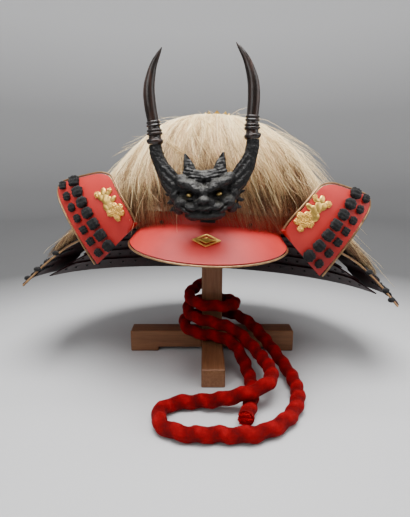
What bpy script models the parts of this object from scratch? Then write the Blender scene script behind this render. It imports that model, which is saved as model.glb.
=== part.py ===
# A kabuto helmet on a plain wooden cross-base stand. Metres, +Z up, the helmet's front towards -Y.
import math

import bmesh
import bpy
from mathutils import Matrix, Vector

for old in list(bpy.data.objects):
    bpy.data.objects.remove(old, do_unlink=True)

# Fits
clearance = 0.0003
lap_clearance = 0.0004

# Stand
timber_width = 0.029
cross_length = 0.236
cross_height = 0.031
foot_height = 0.006
foot_length = 0.040
front_length = 0.238
front_height = 0.024

# How the helmet sits on the stand
seat_height = 0.190
seat_shift = Vector((0.0, -0.005, 0.0))
helmet_turn = math.radians(-3.3)
helmet_lean = math.radians(2.3)
helmet_pitch = math.radians(-6.0)

# Bowl
bowl_half_width = 0.107
bowl_half_length = 0.1245
bowl_height = 0.121
bowl_skirt = 0.010
bowl_wall = 0.0025
bowl_sides = 30
block_height = 0.016

# Brim
brim_half_width = 0.0885
brim_thickness = 0.0024
brim_joint_angle = math.radians(46)
brim_sweep = math.radians(108)
brim_joint_drop = 0.0031
brim_side_drop = 0.0063
brim_side_y = -0.1077
brim_reach = 0.0588
brim_front_drop = 0.0404
brim_end_rise = 0.0175
brim_sag = 0.0022
brim_rim_radius = 0.0013
brim_rim_points = 23
brim_rim_reach = 0.93
lozenge_width = 0.031
lozenge_height = 0.0186
lozenge_thickness = 0.0016
lozenge_bar = 0.0024

# Crown ornament
crown_radius = 0.0155
crown_stem_radius = 0.0120
crown_stem_height = 0.0120
crown_height = 0.0115
crown_wall = 0.0014
crown_points = 8

# Crest
crest_stand_off = 0.0125
crest_foot = 0.0073
crest_lean = math.radians(-5.2)
crest_pitch = math.radians(6.0)
mask_half_width = 0.0375
mask_height = 0.052
mask_depth = 0.040
horn_gap = 0.0006
arm_reach = 0.0487
arm_height = 0.0755
arm_forward = 0.0125
horn_height = 0.089
horn_radius = 0.0064
prong_width = 0.016
prong_bottom = 0.0012
prong_top = 0.0115

# Turned-back plates
plate_thickness = 0.0026
plate_bulge = 0.0085
plate_rim_radius = 0.0014
# Shares of the bowl's half width, half length and height
plate_corners = {
    "inner_top": {"across": 1.196, "back": -0.7711, "up": 0.436},
    "outer_top": {"across": 1.794, "back": -0.5968, "up": 0.305},
    "inner_fold": {"across": 0.766, "back": -0.8851, "up": -0.033},
    "outer_fold": {"across": 1.229, "back": -0.7614, "up": -0.452},
}
lip_gap = 0.0023
plate_main_rows = 9
plate_lip_rows = 3
plate_lip_share = 0.35
border_steps = 7
plate_left_gain = Vector((-0.0090, 0.0, 0.0010))
knot_rows = 7
spray_radius = 0.0052
spray_height = 0.0042
large_knot = Vector((0.0072, 0.0066, 0.0052))
small_knot = Vector((0.0046, 0.0052, 0.0038))

# Neck guard
guard_flare = 0.1350
guard_back_flare = 0.0960
guard_drop = 0.0900
guard_top = -0.0060
guard_lames = 5
lame_thickness = 0.0016
lame_overlap = 0.0080
lame_step = 0.0013
seam_angle = math.radians(97.5)
wing_rise = 0.0070
wing_overlap = math.radians(11)
wing_front_top = math.radians(47)
guard_edge_radius = 0.0015
edge_start = 0.39
wing_inset = 0.03

# Hair
hair_top = 0.136
hair_hole = 0.0172
hair_front_thickness = 0.0090
hair_crest_thickness = 0.0030
hair_part_angle = math.radians(50)
hair_crest_angle = math.radians(10)
hair_fall_width = 0.060
hair_front_hem = 0.0090
hair_crest_hem = 0.0175
hair_side_reach = 0.224
hair_back_reach = 0.212
hair_hem_thickness = 0.0110
hair_lining = 0.0056
hair_seat = 0.0006
hair_locks = 30
lock_ridge = 0.0026
lock_tip = 0.012

# Cord
cord_radius = 0.0085
cord_points = 78
ring_radius = 0.0085
ring_wire = 0.0020
ring_height = -0.001

part = bpy.data.collections.new("kabuto_helmet_on_stand")
guides = bpy.data.collections.new("cutters")
guides.hide_render = True
bpy.context.scene.collection.children.link(part)
bpy.context.scene.collection.children.link(guides)


def material(name, colour, roughness, metallic=0.0):
    made = bpy.data.materials.new(name)
    made.use_nodes = True
    shader = made.node_tree.nodes["Principled BSDF"]
    shader.inputs["Base Color"].default_value = (*colour, 1.0)
    shader.inputs["Roughness"].default_value = roughness
    shader.inputs["Metallic"].default_value = metallic
    made.diffuse_color = (*colour, 1.0)
    return made


red_lacquer = material("red_lacquer", (0.55, 0.06, 0.045), 0.42)
dark_lacquer = material("dark_lacquer", (0.05, 0.008, 0.012), 0.35)
gilt = material("gilt", (0.72, 0.50, 0.16), 0.32, 1.0)
dark_iron = material("dark_iron", (0.045, 0.045, 0.05), 0.5, 0.6)
horn_lacquer = material("horn_lacquer", (0.05, 0.035, 0.03), 0.3)
black_lacing = material("black_lacing", (0.012, 0.012, 0.014), 0.9)
pale_hair = material("pale_hair", (0.72, 0.60, 0.42), 0.7)
plain_wood = material("plain_wood", (0.36, 0.19, 0.09), 0.55)
red_cord = material("red_cord", (0.60, 0.012, 0.02), 0.95)


def keep(obj, name, surface, parent=None):
    obj.name = name
    for holder in list(obj.users_collection):
        holder.objects.unlink(obj)
    part.objects.link(obj)
    obj.data.materials.clear()
    obj.data.materials.append(surface)
    obj.parent = parent
    return obj


def from_bmesh(bm, name, surface, parent=None, smooth=None):
    mesh = bpy.data.meshes.new(name)
    bm.to_mesh(mesh)
    bm.free()
    if smooth is not None:
        mesh.shade_smooth()
        mesh.set_sharp_from_angle(angle=math.radians(smooth))
    return keep(bpy.data.objects.new(name, mesh), name, surface, parent)


def empty(name, matrix, parent=None):
    made = bpy.data.objects.new(name, None)
    part.objects.link(made)
    made.parent = parent
    made.matrix_local = matrix
    return made


def box(bm, low, high):
    middle = (Vector(low) + Vector(high)) / 2
    size = Vector(high) - Vector(low)
    place = Matrix.Translation(middle) @ Matrix.Diagonal((*size, 1.0))
    return bmesh.ops.create_cube(bm, size=1.0, matrix=place)["verts"]


def solid_box(name, low, high, surface, parent=None):
    bm = bmesh.new()
    box(bm, low, high)
    return from_bmesh(bm, name, surface, parent)


def cutter(name, low, high, parent=None):
    made = solid_box(name, low, high, plain_wood, parent)
    part.objects.unlink(made)
    guides.objects.link(made)
    made.hide_render = True
    made.display_type = "WIRE"
    return made


def cut(obj, tool):
    step = obj.modifiers.new(tool.name, "BOOLEAN")
    step.operation = "DIFFERENCE"
    step.object = tool


def solidify(obj, thickness, offset=0.0):
    step = obj.modifiers.new("wall", "SOLIDIFY")
    step.thickness = thickness
    step.offset = offset


# A grid whose corners run from -1 to 1 both ways, each vertex then placed on a surface
def sheet(name, place, u_cells, v_cells, thickness, surface, parent=None, smooth=40):
    bm = bmesh.new()
    bmesh.ops.create_grid(bm, x_segments=u_cells, y_segments=v_cells, size=1.0)
    for vert in bm.verts:
        vert.co = place(vert.co.x, vert.co.y)
    made = from_bmesh(bm, name, surface, parent, smooth)
    solidify(made, thickness)
    return made


def tube(name, points, radius, surface, parent=None, radii=None, cyclic=False, fineness=1):
    curve = bpy.data.curves.new(name, "CURVE")
    curve.dimensions = "3D"
    curve.bevel_depth = radius
    curve.bevel_resolution = fineness
    curve.use_fill_caps = not cyclic
    line = curve.splines.new("POLY")
    line.points.add(len(points) - 1)
    line.use_cyclic_u = cyclic
    for i, point in enumerate(points):
        line.points[i].co = (*point, 1.0)
        line.points[i].radius = radii[i] / radius if radii else 1.0
    return keep(bpy.data.objects.new(name, curve), name, surface, parent)


def smoothstep(x):
    x = min(1.0, max(0.0, x))
    return x * x * (3 - 2 * x)


# Straight-line reading of a table of (at, value) rows
def read(rows, at):
    for (a, va), (b, vb) in zip(rows, rows[1:]):
        if at <= b:
            return va + (vb - va) * (at - a) / (b - a)
    return rows[-1][1]


# A smooth curve through the points, read at even steps
def even_curve(points, count):
    points = [Vector(p) for p in points]
    padded = [2 * points[0] - points[1], *points, 2 * points[-1] - points[-2]]
    fine = []
    for a, b, c, d in zip(padded, padded[1:], padded[2:], padded[3:]):
        for i in range(24):
            t = i / 24
            fine.append(
                0.5
                * (2 * b + (c - a) * t + (2 * a - 5 * b + 4 * c - d) * t * t + (3 * b - a - 3 * c + d) * t**3)
            )
    fine.append(points[-1])
    along = [0.0]
    for a, b in zip(fine, fine[1:]):
        along.append(along[-1] + (b - a).length)
    found, at = [], 0
    for i in range(count):
        want = along[-1] * i / (count - 1)
        while at < len(fine) - 2 and along[at + 1] < want:
            at += 1
        found.append(fine[at].lerp(fine[at + 1], (want - along[at]) / (along[at + 1] - along[at])))
    return found


helmet_matrix = (
    Matrix.Translation(Vector((0, 0, seat_height)) + seat_shift)
    @ Matrix.Rotation(helmet_turn, 4, "Z")
    @ Matrix.Rotation(helmet_lean, 4, "Y")
    @ Matrix.Rotation(helmet_pitch, 4, "X")
)
helmet = empty("helmet_seat", helmet_matrix)
crest_back = -(bowl_half_length + crest_stand_off)
crest = empty(
    "crest_seat",
    Matrix.Translation((0, crest_back, crest_foot))
    @ Matrix.Rotation(crest_lean, 4, "Y")
    @ Matrix.Rotation(crest_pitch, 4, "X"),
    helmet,
)


# Bowl: the upper half of a sphere drawn out to an ellipsoid, with a short upright skirt
def bowl_radius(angle):
    across = math.sin(angle) / bowl_half_width
    along = math.cos(angle) / bowl_half_length
    return 1 / math.hypot(across, along)


def half_ball(bm, half_width, half_length, height, sides):
    bmesh.ops.create_uvsphere(bm, u_segments=sides, v_segments=14, radius=1.0)
    below = [v for v in bm.verts if v.co.z < -0.01]
    bmesh.ops.delete(bm, geom=below, context="VERTS")
    for vert in bm.verts:
        vert.co = Vector((vert.co.x * half_width, vert.co.y * half_length, vert.co.z * height))


def build_bowl():
    bm = bmesh.new()
    half_ball(bm, bowl_half_width, bowl_half_length, bowl_height, bowl_sides)
    rim = [e for e in bm.edges if e.is_boundary]
    grown = bmesh.ops.extrude_edge_only(bm, edges=rim)["geom"]
    bmesh.ops.translate(
        bm, vec=(0, 0, -bowl_skirt), verts=[g for g in grown if isinstance(g, bmesh.types.BMVert)]
    )
    bmesh.ops.recalc_face_normals(bm, faces=bm.faces)
    solidify(from_bmesh(bm, "bowl", red_lacquer, helmet, 40), bowl_wall, -1.0)


def build_head_block():
    inset = bowl_wall + 2 * clearance
    base = bowl_height - inset - block_height
    bm = bmesh.new()
    half_ball(
        bm, bowl_half_width - inset, bowl_half_length - inset, bowl_height - inset, bowl_sides
    )
    geometry = [*bm.verts, *bm.edges, *bm.faces]
    bmesh.ops.bisect_plane(
        bm, geom=geometry, plane_co=(0, 0, base), plane_no=(0, 0, 1), clear_inner=True
    )
    bmesh.ops.holes_fill(bm, edges=[e for e in bm.edges if e.is_boundary], sides=0)
    bmesh.ops.recalc_face_normals(bm, faces=bm.faces)
    from_bmesh(bm, "head_block", plain_wood, helmet, 40)
    return base


# Stand: two lapped timbers, a post whose top meets the leaning head block
def build_stand(block_base):
    half = timber_width / 2
    cross = solid_box(
        "cross_beam", (-cross_length / 2, -half, 0), (cross_length / 2, half, cross_height), plain_wood
    )
    inner = cross_length / 2 - foot_length
    cut(cross, cutter("recess_cutter", (-inner, -half - 0.01, -0.01), (inner, half + 0.01, foot_height)))
    lap = half + lap_clearance
    cut(
        cross,
        cutter("lap_cutter", (-lap, -half - 0.01, -0.02), (lap, half + 0.01, front_height + clearance)),
    )
    front = solid_box(
        "front_beam", (-half, -front_length / 2, 0), (half, front_length / 2, front_height), plain_wood
    )
    bevel_edges(front)
    bevel_edges(cross)
    bm = bmesh.new()
    box(bm, (-half, -half, cross_height + clearance), (half, half, seat_height))
    top_plane = helmet_matrix @ Vector((0, 0, block_base - clearance))
    normal = helmet_matrix.to_3x3() @ Vector((0, 0, 1))
    for vert in bm.verts:
        if vert.co.z > seat_height - 0.001:
            across = (vert.co - top_plane).x * normal.x + (vert.co - top_plane).y * normal.y
            vert.co.z = top_plane.z - across / normal.z
    bevel_edges(from_bmesh(bm, "post", plain_wood))


def bevel_edges(obj, width=0.0012):
    step = obj.modifiers.new("soft_edges", "BEVEL")
    step.width = width
    step.segments = 1
    step.limit_method = "ANGLE"
    step.angle_limit = math.radians(50)


# Brim: a sheet between the bowl's front and an elliptical outer edge
def brim_inner(u):
    angle = u * brim_joint_angle
    reach = bowl_radius(angle) + clearance + brim_thickness / 2
    drop = brim_joint_drop + brim_side_drop * u * u
    return Vector((reach * math.sin(angle), -reach * math.cos(angle), -drop))


def brim_outer(u):
    angle = u * brim_sweep
    x = brim_half_width * math.sin(angle)
    y = brim_side_y - brim_reach * math.cos(angle)
    return Vector((x, y, -brim_front_drop + brim_end_rise * (1 - math.cos(angle))))


def brim_point(u, v):
    across = (v + 1) / 2
    sag = brim_sag * 4 * across * (1 - across)
    return brim_inner(u).lerp(brim_outer(u), across) + Vector((0, 0, sag))


def build_brim():
    sheet("brim", brim_point, 20, 4, brim_thickness, red_lacquer, helmet)
    edge = []
    for i in range(brim_rim_points):
        u = (2 * i / (brim_rim_points - 1) - 1) * brim_rim_reach
        along = (brim_outer(u + 0.01) - brim_outer(u - 0.01)).normalized()
        away = brim_outer(u) - brim_inner(u)
        away = (away - along * away.dot(along)).normalized()
        edge.append(brim_outer(u) + away * (brim_rim_radius + 3 * clearance))
    tube("brim_rim", edge, brim_rim_radius, gilt, helmet)


def build_lozenge():
    curve = bpy.data.curves.new("brim_crest", "CURVE")
    curve.dimensions = "2D"
    curve.fill_mode = "BOTH"
    curve.extrude = lozenge_thickness / 2
    half_width, half_height, bar = lozenge_width / 2, lozenge_height / 2, lozenge_bar / 2
    lean = half_height / half_width
    outlines = [[(-half_width, 0), (0, half_height), (half_width, 0), (0, -half_height)]]
    outer_share, inner_share = 0.78, 0.48
    for way in (1, -1):
        tip, core = half_height * outer_share, half_height * inner_share
        near = (half_width * inner_share) - bar / lean
        far = (half_width * outer_share) - bar / lean
        outer = [(-far, way * bar), (0, way * tip), (far, way * bar)]
        outlines.append(outer + [(near, way * bar), (0, way * core), (-near, way * bar)])
    for outline in outlines:
        line = curve.splines.new("POLY")
        line.points.add(len(outline) - 1)
        line.use_cyclic_u = True
        for i, (x, y) in enumerate(outline):
            line.points[i].co = (x, y, 0, 1)
    made = keep(bpy.data.objects.new("brim_crest", curve), "brim_crest", gilt, helmet)
    at, step = -0.04, 0.05
    across = Vector((1, 0, 0))
    up = (brim_point(0, at - step) - brim_point(0, at + step)).normalized()
    out = across.cross(up)
    turn = Matrix((across, up, out)).transposed().to_4x4()
    lift = brim_thickness / 2 + 2 * clearance + lozenge_thickness / 2
    turn.translation = brim_point(0, at) + out * lift
    made.matrix_local = turn


# Crown ornament: a turned stem, then a ring of points standing out of it
def build_crown():
    base = bowl_height + clearance
    bm = bmesh.new()
    bmesh.ops.create_cone(
        bm,
        cap_ends=True,
        segments=2 * crown_points,
        radius1=crown_stem_radius,
        radius2=crown_radius,
        depth=crown_stem_height,
        matrix=Matrix.Translation((0, 0, base + crown_stem_height / 2)),
    )
    top = max(v.co.z for v in bm.verts)
    lid = [f for f in bm.faces if f.normal.z > 0.9]
    inner = bmesh.ops.inset_region(bm, faces=lid, thickness=crown_wall)["faces"]
    rim = [f for f in inner if f not in lid]
    raised = bmesh.ops.extrude_face_region(bm, geom=rim)["geom"]
    bmesh.ops.delete(bm, geom=rim, context="FACES_ONLY")
    for vert in [g for g in raised if isinstance(g, bmesh.types.BMVert)]:
        turn = math.atan2(vert.co.y, vert.co.x) * crown_points / (2 * math.pi)
        tall = 1.0 if abs(turn - round(turn)) < 0.25 else 0.45
        vert.co.z = top + crown_height * tall
        vert.co.x *= 1.0 + 0.08 * tall
        vert.co.y *= 1.0 + 0.08 * tall
    bmesh.ops.recalc_face_normals(bm, faces=bm.faces)
    from_bmesh(bm, "crown_ornament", gilt, helmet)


# Neck guard: shares of the flare and of the drop, from the bowl to the lowest rim
wing_profile = {
    "out": ((0.0, 0.0), (0.30, 0.31), (0.58, 0.61), (0.80, 0.83), (1.0, 1.018)),
    "down": ((0.0, 0.0), (0.30, 0.15), (0.58, 0.42), (0.80, 0.68), (1.0, 0.945)),
}
wing_front = ((0.0, 0.0), (0.35, 0.55), (0.62, 1.16), (0.82, 1.10), (1.0, 1.0))
wing_tip_angle = math.radians(71.5)


def guard_point(angle, out, drop):
    start = 2 * clearance + (lame_step + lame_thickness / 2) * math.sin(guard_slope())
    x = (bowl_half_width + start + out * guard_flare) * math.sin(angle)
    y = -(bowl_half_length + start + out * guard_back_flare) * math.cos(angle)
    return Vector((x, y, guard_top - drop))


def guard_slope():
    return math.atan2(guard_drop, guard_flare)


def wing_surface(angle, share):
    out = read(wing_profile["out"], share)
    drop = read(wing_profile["down"], share) * (guard_drop + wing_rise) - wing_rise
    return guard_point(angle, out, drop)


def wing_front_angle(share):
    return wing_front_top + (wing_tip_angle - wing_front_top) * read(wing_front, share)


def wing_place(side):
    def place(u, v):
        row = round((v + 1) / 2 * (2 * guard_lames - 1))
        lame, end = divmod(row, 2)
        share = (lame + (1 - wing_inset if end else wing_inset)) / guard_lames
        share = 0.0 if row == 0 else 1.0 if row == 2 * guard_lames - 1 else share
        front = wing_front_angle(share)
        angle = front + (seam_angle + wing_overlap - front) * (u + 1) / 2
        point = wing_surface(angle, share)
        lift = lame_step * 0.7 * (1 if end else -1)
        slope = guard_slope()
        point += Vector((math.sin(slope) * math.sin(angle), 0, math.cos(slope))) * lift
        return Vector((point.x * side, point.y, point.z))

    return place


def build_guard():
    slope = guard_slope()
    out_lift = math.sin(slope) * lame_step
    up_lift = math.cos(slope) * lame_step
    overlap = lame_overlap * math.cos(slope) / guard_flare
    for i in range(guard_lames):
        top = i / guard_lames - (overlap if i else 0.0)
        bottom = (i + 1) / guard_lames

        def place(u, v, top=top, bottom=bottom):
            turn = math.pi - seam_angle
            angle = math.pi + u * turn
            share = top + (bottom - top) * (v + 1) / 2
            point = guard_point(angle, share, share * guard_drop)
            way = Vector((math.sin(angle), -math.cos(angle), 0)) * out_lift + Vector((0, 0, up_lift))
            return point + way * v

        sheet(f"neck_lame_{i + 1}", place, 22, 1, lame_thickness, dark_lacquer, helmet, 30)
    for side, name in ((-1, "left"), (1, "right")):
        sheet(
            f"neck_wing_{name}",
            wing_place(side),
            7,
            2 * guard_lames - 1,
            lame_thickness,
            dark_lacquer,
            helmet,
            30,
        )
        edge = []
        for i in range(10):
            share = edge_start + (1 - edge_start) * i / 9
            front = wing_front_angle(share)
            ahead = (lame_thickness / 2 + guard_edge_radius + 3 * clearance) / guard_flare
            point = wing_surface(front - ahead, share)
            edge.append(Vector((point.x * side, point.y, point.z)))
        tube(f"wing_edge_{name}", edge, guard_edge_radius, gilt, helmet)


# Turned-back plates: a bulged four-cornered sheet that folds back to the wing's front edge
def plate_corner(share):
    across, back, up = share["across"], share["back"], share["up"]
    return Vector((across * bowl_half_width, back * bowl_half_length, up * bowl_height))


def plate_surface(side, u, v):
    c = {name: plate_corner(share) for name, share in plate_corners.items()}
    a, b = (u + 1) / 2, (v + 1) / 2
    inner_top = c["inner_top"] + (plate_left_gain if side < 0 else Vector((0, 0, 0)))
    top = inner_top.lerp(c["outer_top"], a)
    fold = c["inner_fold"].lerp(c["outer_fold"], a)
    across = (c["outer_top"] - c["inner_top"]).cross(c["inner_fold"] - c["inner_top"]).normalized()
    middle = (inner_top + c["outer_fold"]) / 2
    pull = 0.10 * abs(u) ** 7 * abs(v) ** 7 if v < 0.5 or u < 0 else 0.0
    point = top.lerp(fold, b) - across * plate_bulge * (1 - v * v) * (1 - 0.25 * u * u)
    point = point.lerp(middle, pull)
    return Vector((point.x * side, point.y, point.z))


def plate_place(side):
    def place(u, v):
        row = (v + 1) / 2 * (plate_main_rows + plate_lip_rows)
        if row <= plate_main_rows:
            return plate_surface(side, u, row / plate_main_rows * 2 - 1)
        share = (row - plate_main_rows) / plate_lip_rows
        fold = plate_surface(side, u, 1)
        fold.x *= side
        at = plate_lip_share * (u + 1) / 2
        end = wing_surface(wing_front_angle(at), at) - Vector((0, lip_gap, 0))
        under = fold.lerp(end, 0.45) + Vector((-0.002, 0.0, -0.006))
        point = fold.lerp(under, share).lerp(under.lerp(end, share), share)
        return Vector((point.x * side, point.y, point.z))

    return place




def plate_border(per_side):
    end = 0.95
    stops = [(-1, -1), (1, -1), (1, end), (-1, end)]
    ring = []
    for (u0, v0), (u1, v1) in zip(stops, stops[1:] + stops[:1]):
        for i in range(per_side):
            t = i / per_side
            ring.append((u0 + (u1 - u0) * t, v0 + (v1 - v0) * t))
    return ring


def build_plates():
    for side, name in ((-1, "left"), (1, "right")):
        rows = plate_main_rows + plate_lip_rows
        sheet(f"turnback_{name}", plate_place(side), 7, rows, plate_thickness, red_lacquer, helmet)
        ring = plate_border(border_steps)
        middle = plate_surface(side, 0, 0)
        points = [plate_surface(side, u, v) for u, v in ring]
        grown = []
        for i, point in enumerate(points):
            u, v = ring[i]
            before, after = point - points[i - 1], points[(i + 1) % len(points)] - point
            ahead = (before + after).normalized()
            mitre = 1 / math.cos(min(before.angle(after), math.radians(100)) / 2)
            out = on_plate(side, u * 0.7, v * 0.7, 0.0).col[2].to_3d()
            away = ahead.cross(out).normalized()
            if away.dot(point - middle) < 0:
                away = -away
            grow = (plate_rim_radius + 4 * clearance) * mitre
            grown.append(point + away * grow)
        open_edge = grown[3 * border_steps :] + grown[: 2 * border_steps + 1]
        tube(f"turnback_rim_{name}", open_edge, plate_rim_radius, gilt, helmet)
        build_knots(side, name)
        build_spray(side, name)


# A frame standing on the front of a plate, its X across the plate and its Z out of it
def on_plate(side, u, v, height):
    step = 0.05
    across = (plate_surface(side, u + step, v) - plate_surface(side, u - step, v)).normalized()
    down = plate_surface(side, u, v + step) - plate_surface(side, u, v - step)
    out = across.cross(down).normalized()
    if out.y > 0:
        out = -out
    turn = Matrix((across, out.cross(across), out)).transposed().to_4x4()
    turn.translation = plate_surface(side, u, v) + out * (plate_thickness / 2 + height)
    return turn


def knot_mesh(name, size):
    bm = bmesh.new()
    bmesh.ops.create_uvsphere(bm, u_segments=8, v_segments=4, radius=1.0)
    for vert in bm.verts:
        low = 0.25 if vert.co.z < 0 else 1.0 if vert.co.z > 0.9 else 1.15
        vert.co = Vector((vert.co.x * size.x, vert.co.y * size.y, vert.co.z * size.z * low))
    mesh = bpy.data.meshes.new(name)
    bm.to_mesh(mesh)
    bm.free()
    mesh.shade_smooth()
    return mesh


def build_knots(side, name):
    columns = (("small", 0.66, small_knot, 0.05, 0.93), ("large", 0.21, large_knot, 0.04, 0.95))
    for kind, u, size, first, last in columns:
        mesh = knot_mesh(f"{kind}_knot", size)
        for i in range(knot_rows):
            v = 2 * (first + (last - first) * i / (knot_rows - 1)) - 1
            made = bpy.data.objects.new(f"{kind}_knot_{name}_{i + 1}", mesh)
            keep(made, made.name, black_lacing, helmet)
            made.matrix_local = on_plate(side, u, v, 1.2 * clearance + size.z * 0.25)


# Flower spray: each boss from the small blossom to the large cluster, its place on the plate and its size
spray_bosses = (
    {"across": -0.24, "down": -0.56, "size": 0.80},
    {"across": -0.36, "down": -0.63, "size": 0.75},
    {"across": -0.49, "down": -0.53, "size": 0.85},
    {"across": -0.43, "down": -0.38, "size": 0.90},
    {"across": -0.40, "down": -0.24, "size": 0.95},
    {"across": -0.37, "down": -0.10, "size": 0.95},
    {"across": -0.37, "down": 0.04, "size": 1.00},
    {"across": -0.42, "down": 0.17, "size": 1.05},
    {"across": -0.60, "down": 0.12, "size": 0.90},
    {"across": -0.31, "down": 0.30, "size": 0.95},
    {"across": -0.52, "down": 0.32, "size": 1.15},
    {"across": -0.74, "down": 0.28, "size": 0.95},
    {"across": -0.42, "down": 0.48, "size": 1.00},
    {"across": -0.65, "down": 0.48, "size": 1.10},
    {"across": -0.55, "down": 0.63, "size": 0.90},
)


def build_spray(side, name):
    bm = bmesh.new()
    for boss in spray_bosses:
        radius = spray_radius * boss["size"]
        turn = on_plate(side, boss["across"], boss["down"], 4 * clearance + spray_height * 0.45)
        size = Matrix.Diagonal((radius, radius, spray_height * 0.5, 1.0))
        bmesh.ops.create_icosphere(bm, subdivisions=2, radius=1.0, matrix=turn @ size)
    made = from_bmesh(bm, f"turnback_spray_{name}", gilt, helmet)
    blend(made, 0.0010, 0.055)


def blend(obj, voxel, ratio):
    step = obj.modifiers.new("join", "REMESH")
    step.mode = "VOXEL"
    step.voxel_size = voxel
    thin = obj.modifiers.new("thin", "DECIMATE")
    thin.ratio = ratio


# Mask: lumps of a snarling beast's face as shares of its half width, depth and height, in its own frame
# Shares of the mask's half width, depth and height: a lump's middle and half sizes; its turn in degrees
mask_lumps = (
    {"across": 0.00, "ahead": 0.32, "up": 0.55, "wide": 0.80, "deep": 0.46, "tall": 0.44, "turn": 0},
    {"across": 0.00, "ahead": 0.45, "up": 0.86, "wide": 0.62, "deep": 0.36, "tall": 0.20, "turn": 0},
    {"across": 0.40, "ahead": 0.70, "up": 0.66, "wide": 0.42, "deep": 0.24, "tall": 0.11, "turn": -22},
    {"across": 0.00, "ahead": 0.84, "up": 0.34, "wide": 0.34, "deep": 0.34, "tall": 0.17, "turn": 0},
    {"across": 0.00, "ahead": 1.05, "up": 0.42, "wide": 0.19, "deep": 0.17, "tall": 0.10, "turn": 0},
    {"across": 0.54, "ahead": 0.58, "up": 0.28, "wide": 0.32, "deep": 0.27, "tall": 0.19, "turn": 0},
    {"across": 0.00, "ahead": 0.56, "up": 0.13, "wide": 0.54, "deep": 0.36, "tall": 0.14, "turn": 0},
    {"across": 0.00, "ahead": 0.14, "up": 0.14, "wide": 0.34, "deep": 0.42, "tall": 0.13, "turn": 0},
    {"across": 0.86, "ahead": 0.30, "up": 0.34, "wide": 0.20, "deep": 0.25, "tall": 0.25, "turn": 12},
    {"across": 0.92, "ahead": 0.26, "up": 0.62, "wide": 0.16, "deep": 0.22, "tall": 0.18, "turn": -10},
    {"across": 0.74, "ahead": 0.34, "up": 0.12, "wide": 0.16, "deep": 0.20, "tall": 0.12, "turn": 30},
)
ear_line = (
    {"across": 0.34, "ahead": 0.40, "up": 0.92, "thick": 0.97},
    {"across": 0.44, "ahead": 0.38, "up": 1.08, "thick": 0.75},
    {"across": 0.53, "ahead": 0.34, "up": 1.27, "thick": 0.19},
)
# The arm from the temple to the horn's collar: shares of the arm's reach, height and end thickness
arm_line = (
    {"out": 0.470, "up": 0.344, "thick": 1.17},
    {"out": 0.700, "up": 0.503, "thick": 1.33},
    {"out": 0.890, "up": 0.715, "thick": 1.22},
    {"out": 0.985, "up": 0.900, "thick": 1.03},
    {"out": 1.000, "up": 1.000, "thick": 1.00},
)
# Shares of the horn's height and of the arm's reach
horn_line = (
    {"up": 0.00, "out": 1.000},
    {"up": 0.10, "out": 0.990},
    {"up": 0.25, "out": 1.006},
    {"up": 0.42, "out": 1.039},
    {"up": 0.58, "out": 1.039},
    {"up": 0.72, "out": 0.986},
    {"up": 0.85, "out": 0.897},
    {"up": 1.00, "out": 0.728},
)
# Shares of the horn's height and radius: two collars, a ring, double rings, then the plain horn
horn_rings = (
    {"up": 0.0, "thick": 1.05},
    {"up": 0.022, "thick": 1.28},
    {"up": 0.052, "thick": 1.32},
    {"up": 0.075, "thick": 1.02},
    {"up": 0.095, "thick": 1.02},
    {"up": 0.110, "thick": 1.22},
    {"up": 0.145, "thick": 1.24},
    {"up": 0.160, "thick": 0.98},
    {"up": 0.185, "thick": 0.96},
    {"up": 0.200, "thick": 1.14},
    {"up": 0.222, "thick": 1.14},
    {"up": 0.237, "thick": 0.98},
    {"up": 0.252, "thick": 1.10},
    {"up": 0.272, "thick": 1.10},
    {"up": 0.290, "thick": 0.94},
    {"up": 0.40, "thick": 0.97},
    {"up": 0.52, "thick": 0.96},
    {"up": 0.64, "thick": 0.85},
    {"up": 0.76, "thick": 0.67},
    {"up": 0.88, "thick": 0.45},
    {"up": 0.96, "thick": 0.24},
    {"up": 1.0, "thick": 0.10},
)


def add_tube(bm, points, radii, sides=8):
    rings = []
    for i, point in enumerate(points):
        ahead = (points[min(i + 1, len(points) - 1)] - points[max(i - 1, 0)]).normalized()
        side = ahead.cross(Vector((0, 1, 0))).normalized()
        up = side.cross(ahead)
        rings.append(
            [
                bm.verts.new(point + radii[i] * (side * math.cos(t) + up * math.sin(t)))
                for t in (2 * math.pi * k / sides for k in range(sides))
            ]
        )
    for low, high in zip(rings, rings[1:]):
        for k in range(sides):
            bm.faces.new((low[k - 1], low[k], high[k], high[k - 1]))
    bm.faces.new(rings[0])
    bm.faces.new(rings[-1][::-1])


def mask_spot(side, row):
    across, ahead, up = side * row["across"], row["ahead"], row["up"]
    return Vector((across * mask_half_width, -ahead * mask_depth, up * mask_height))


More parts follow.
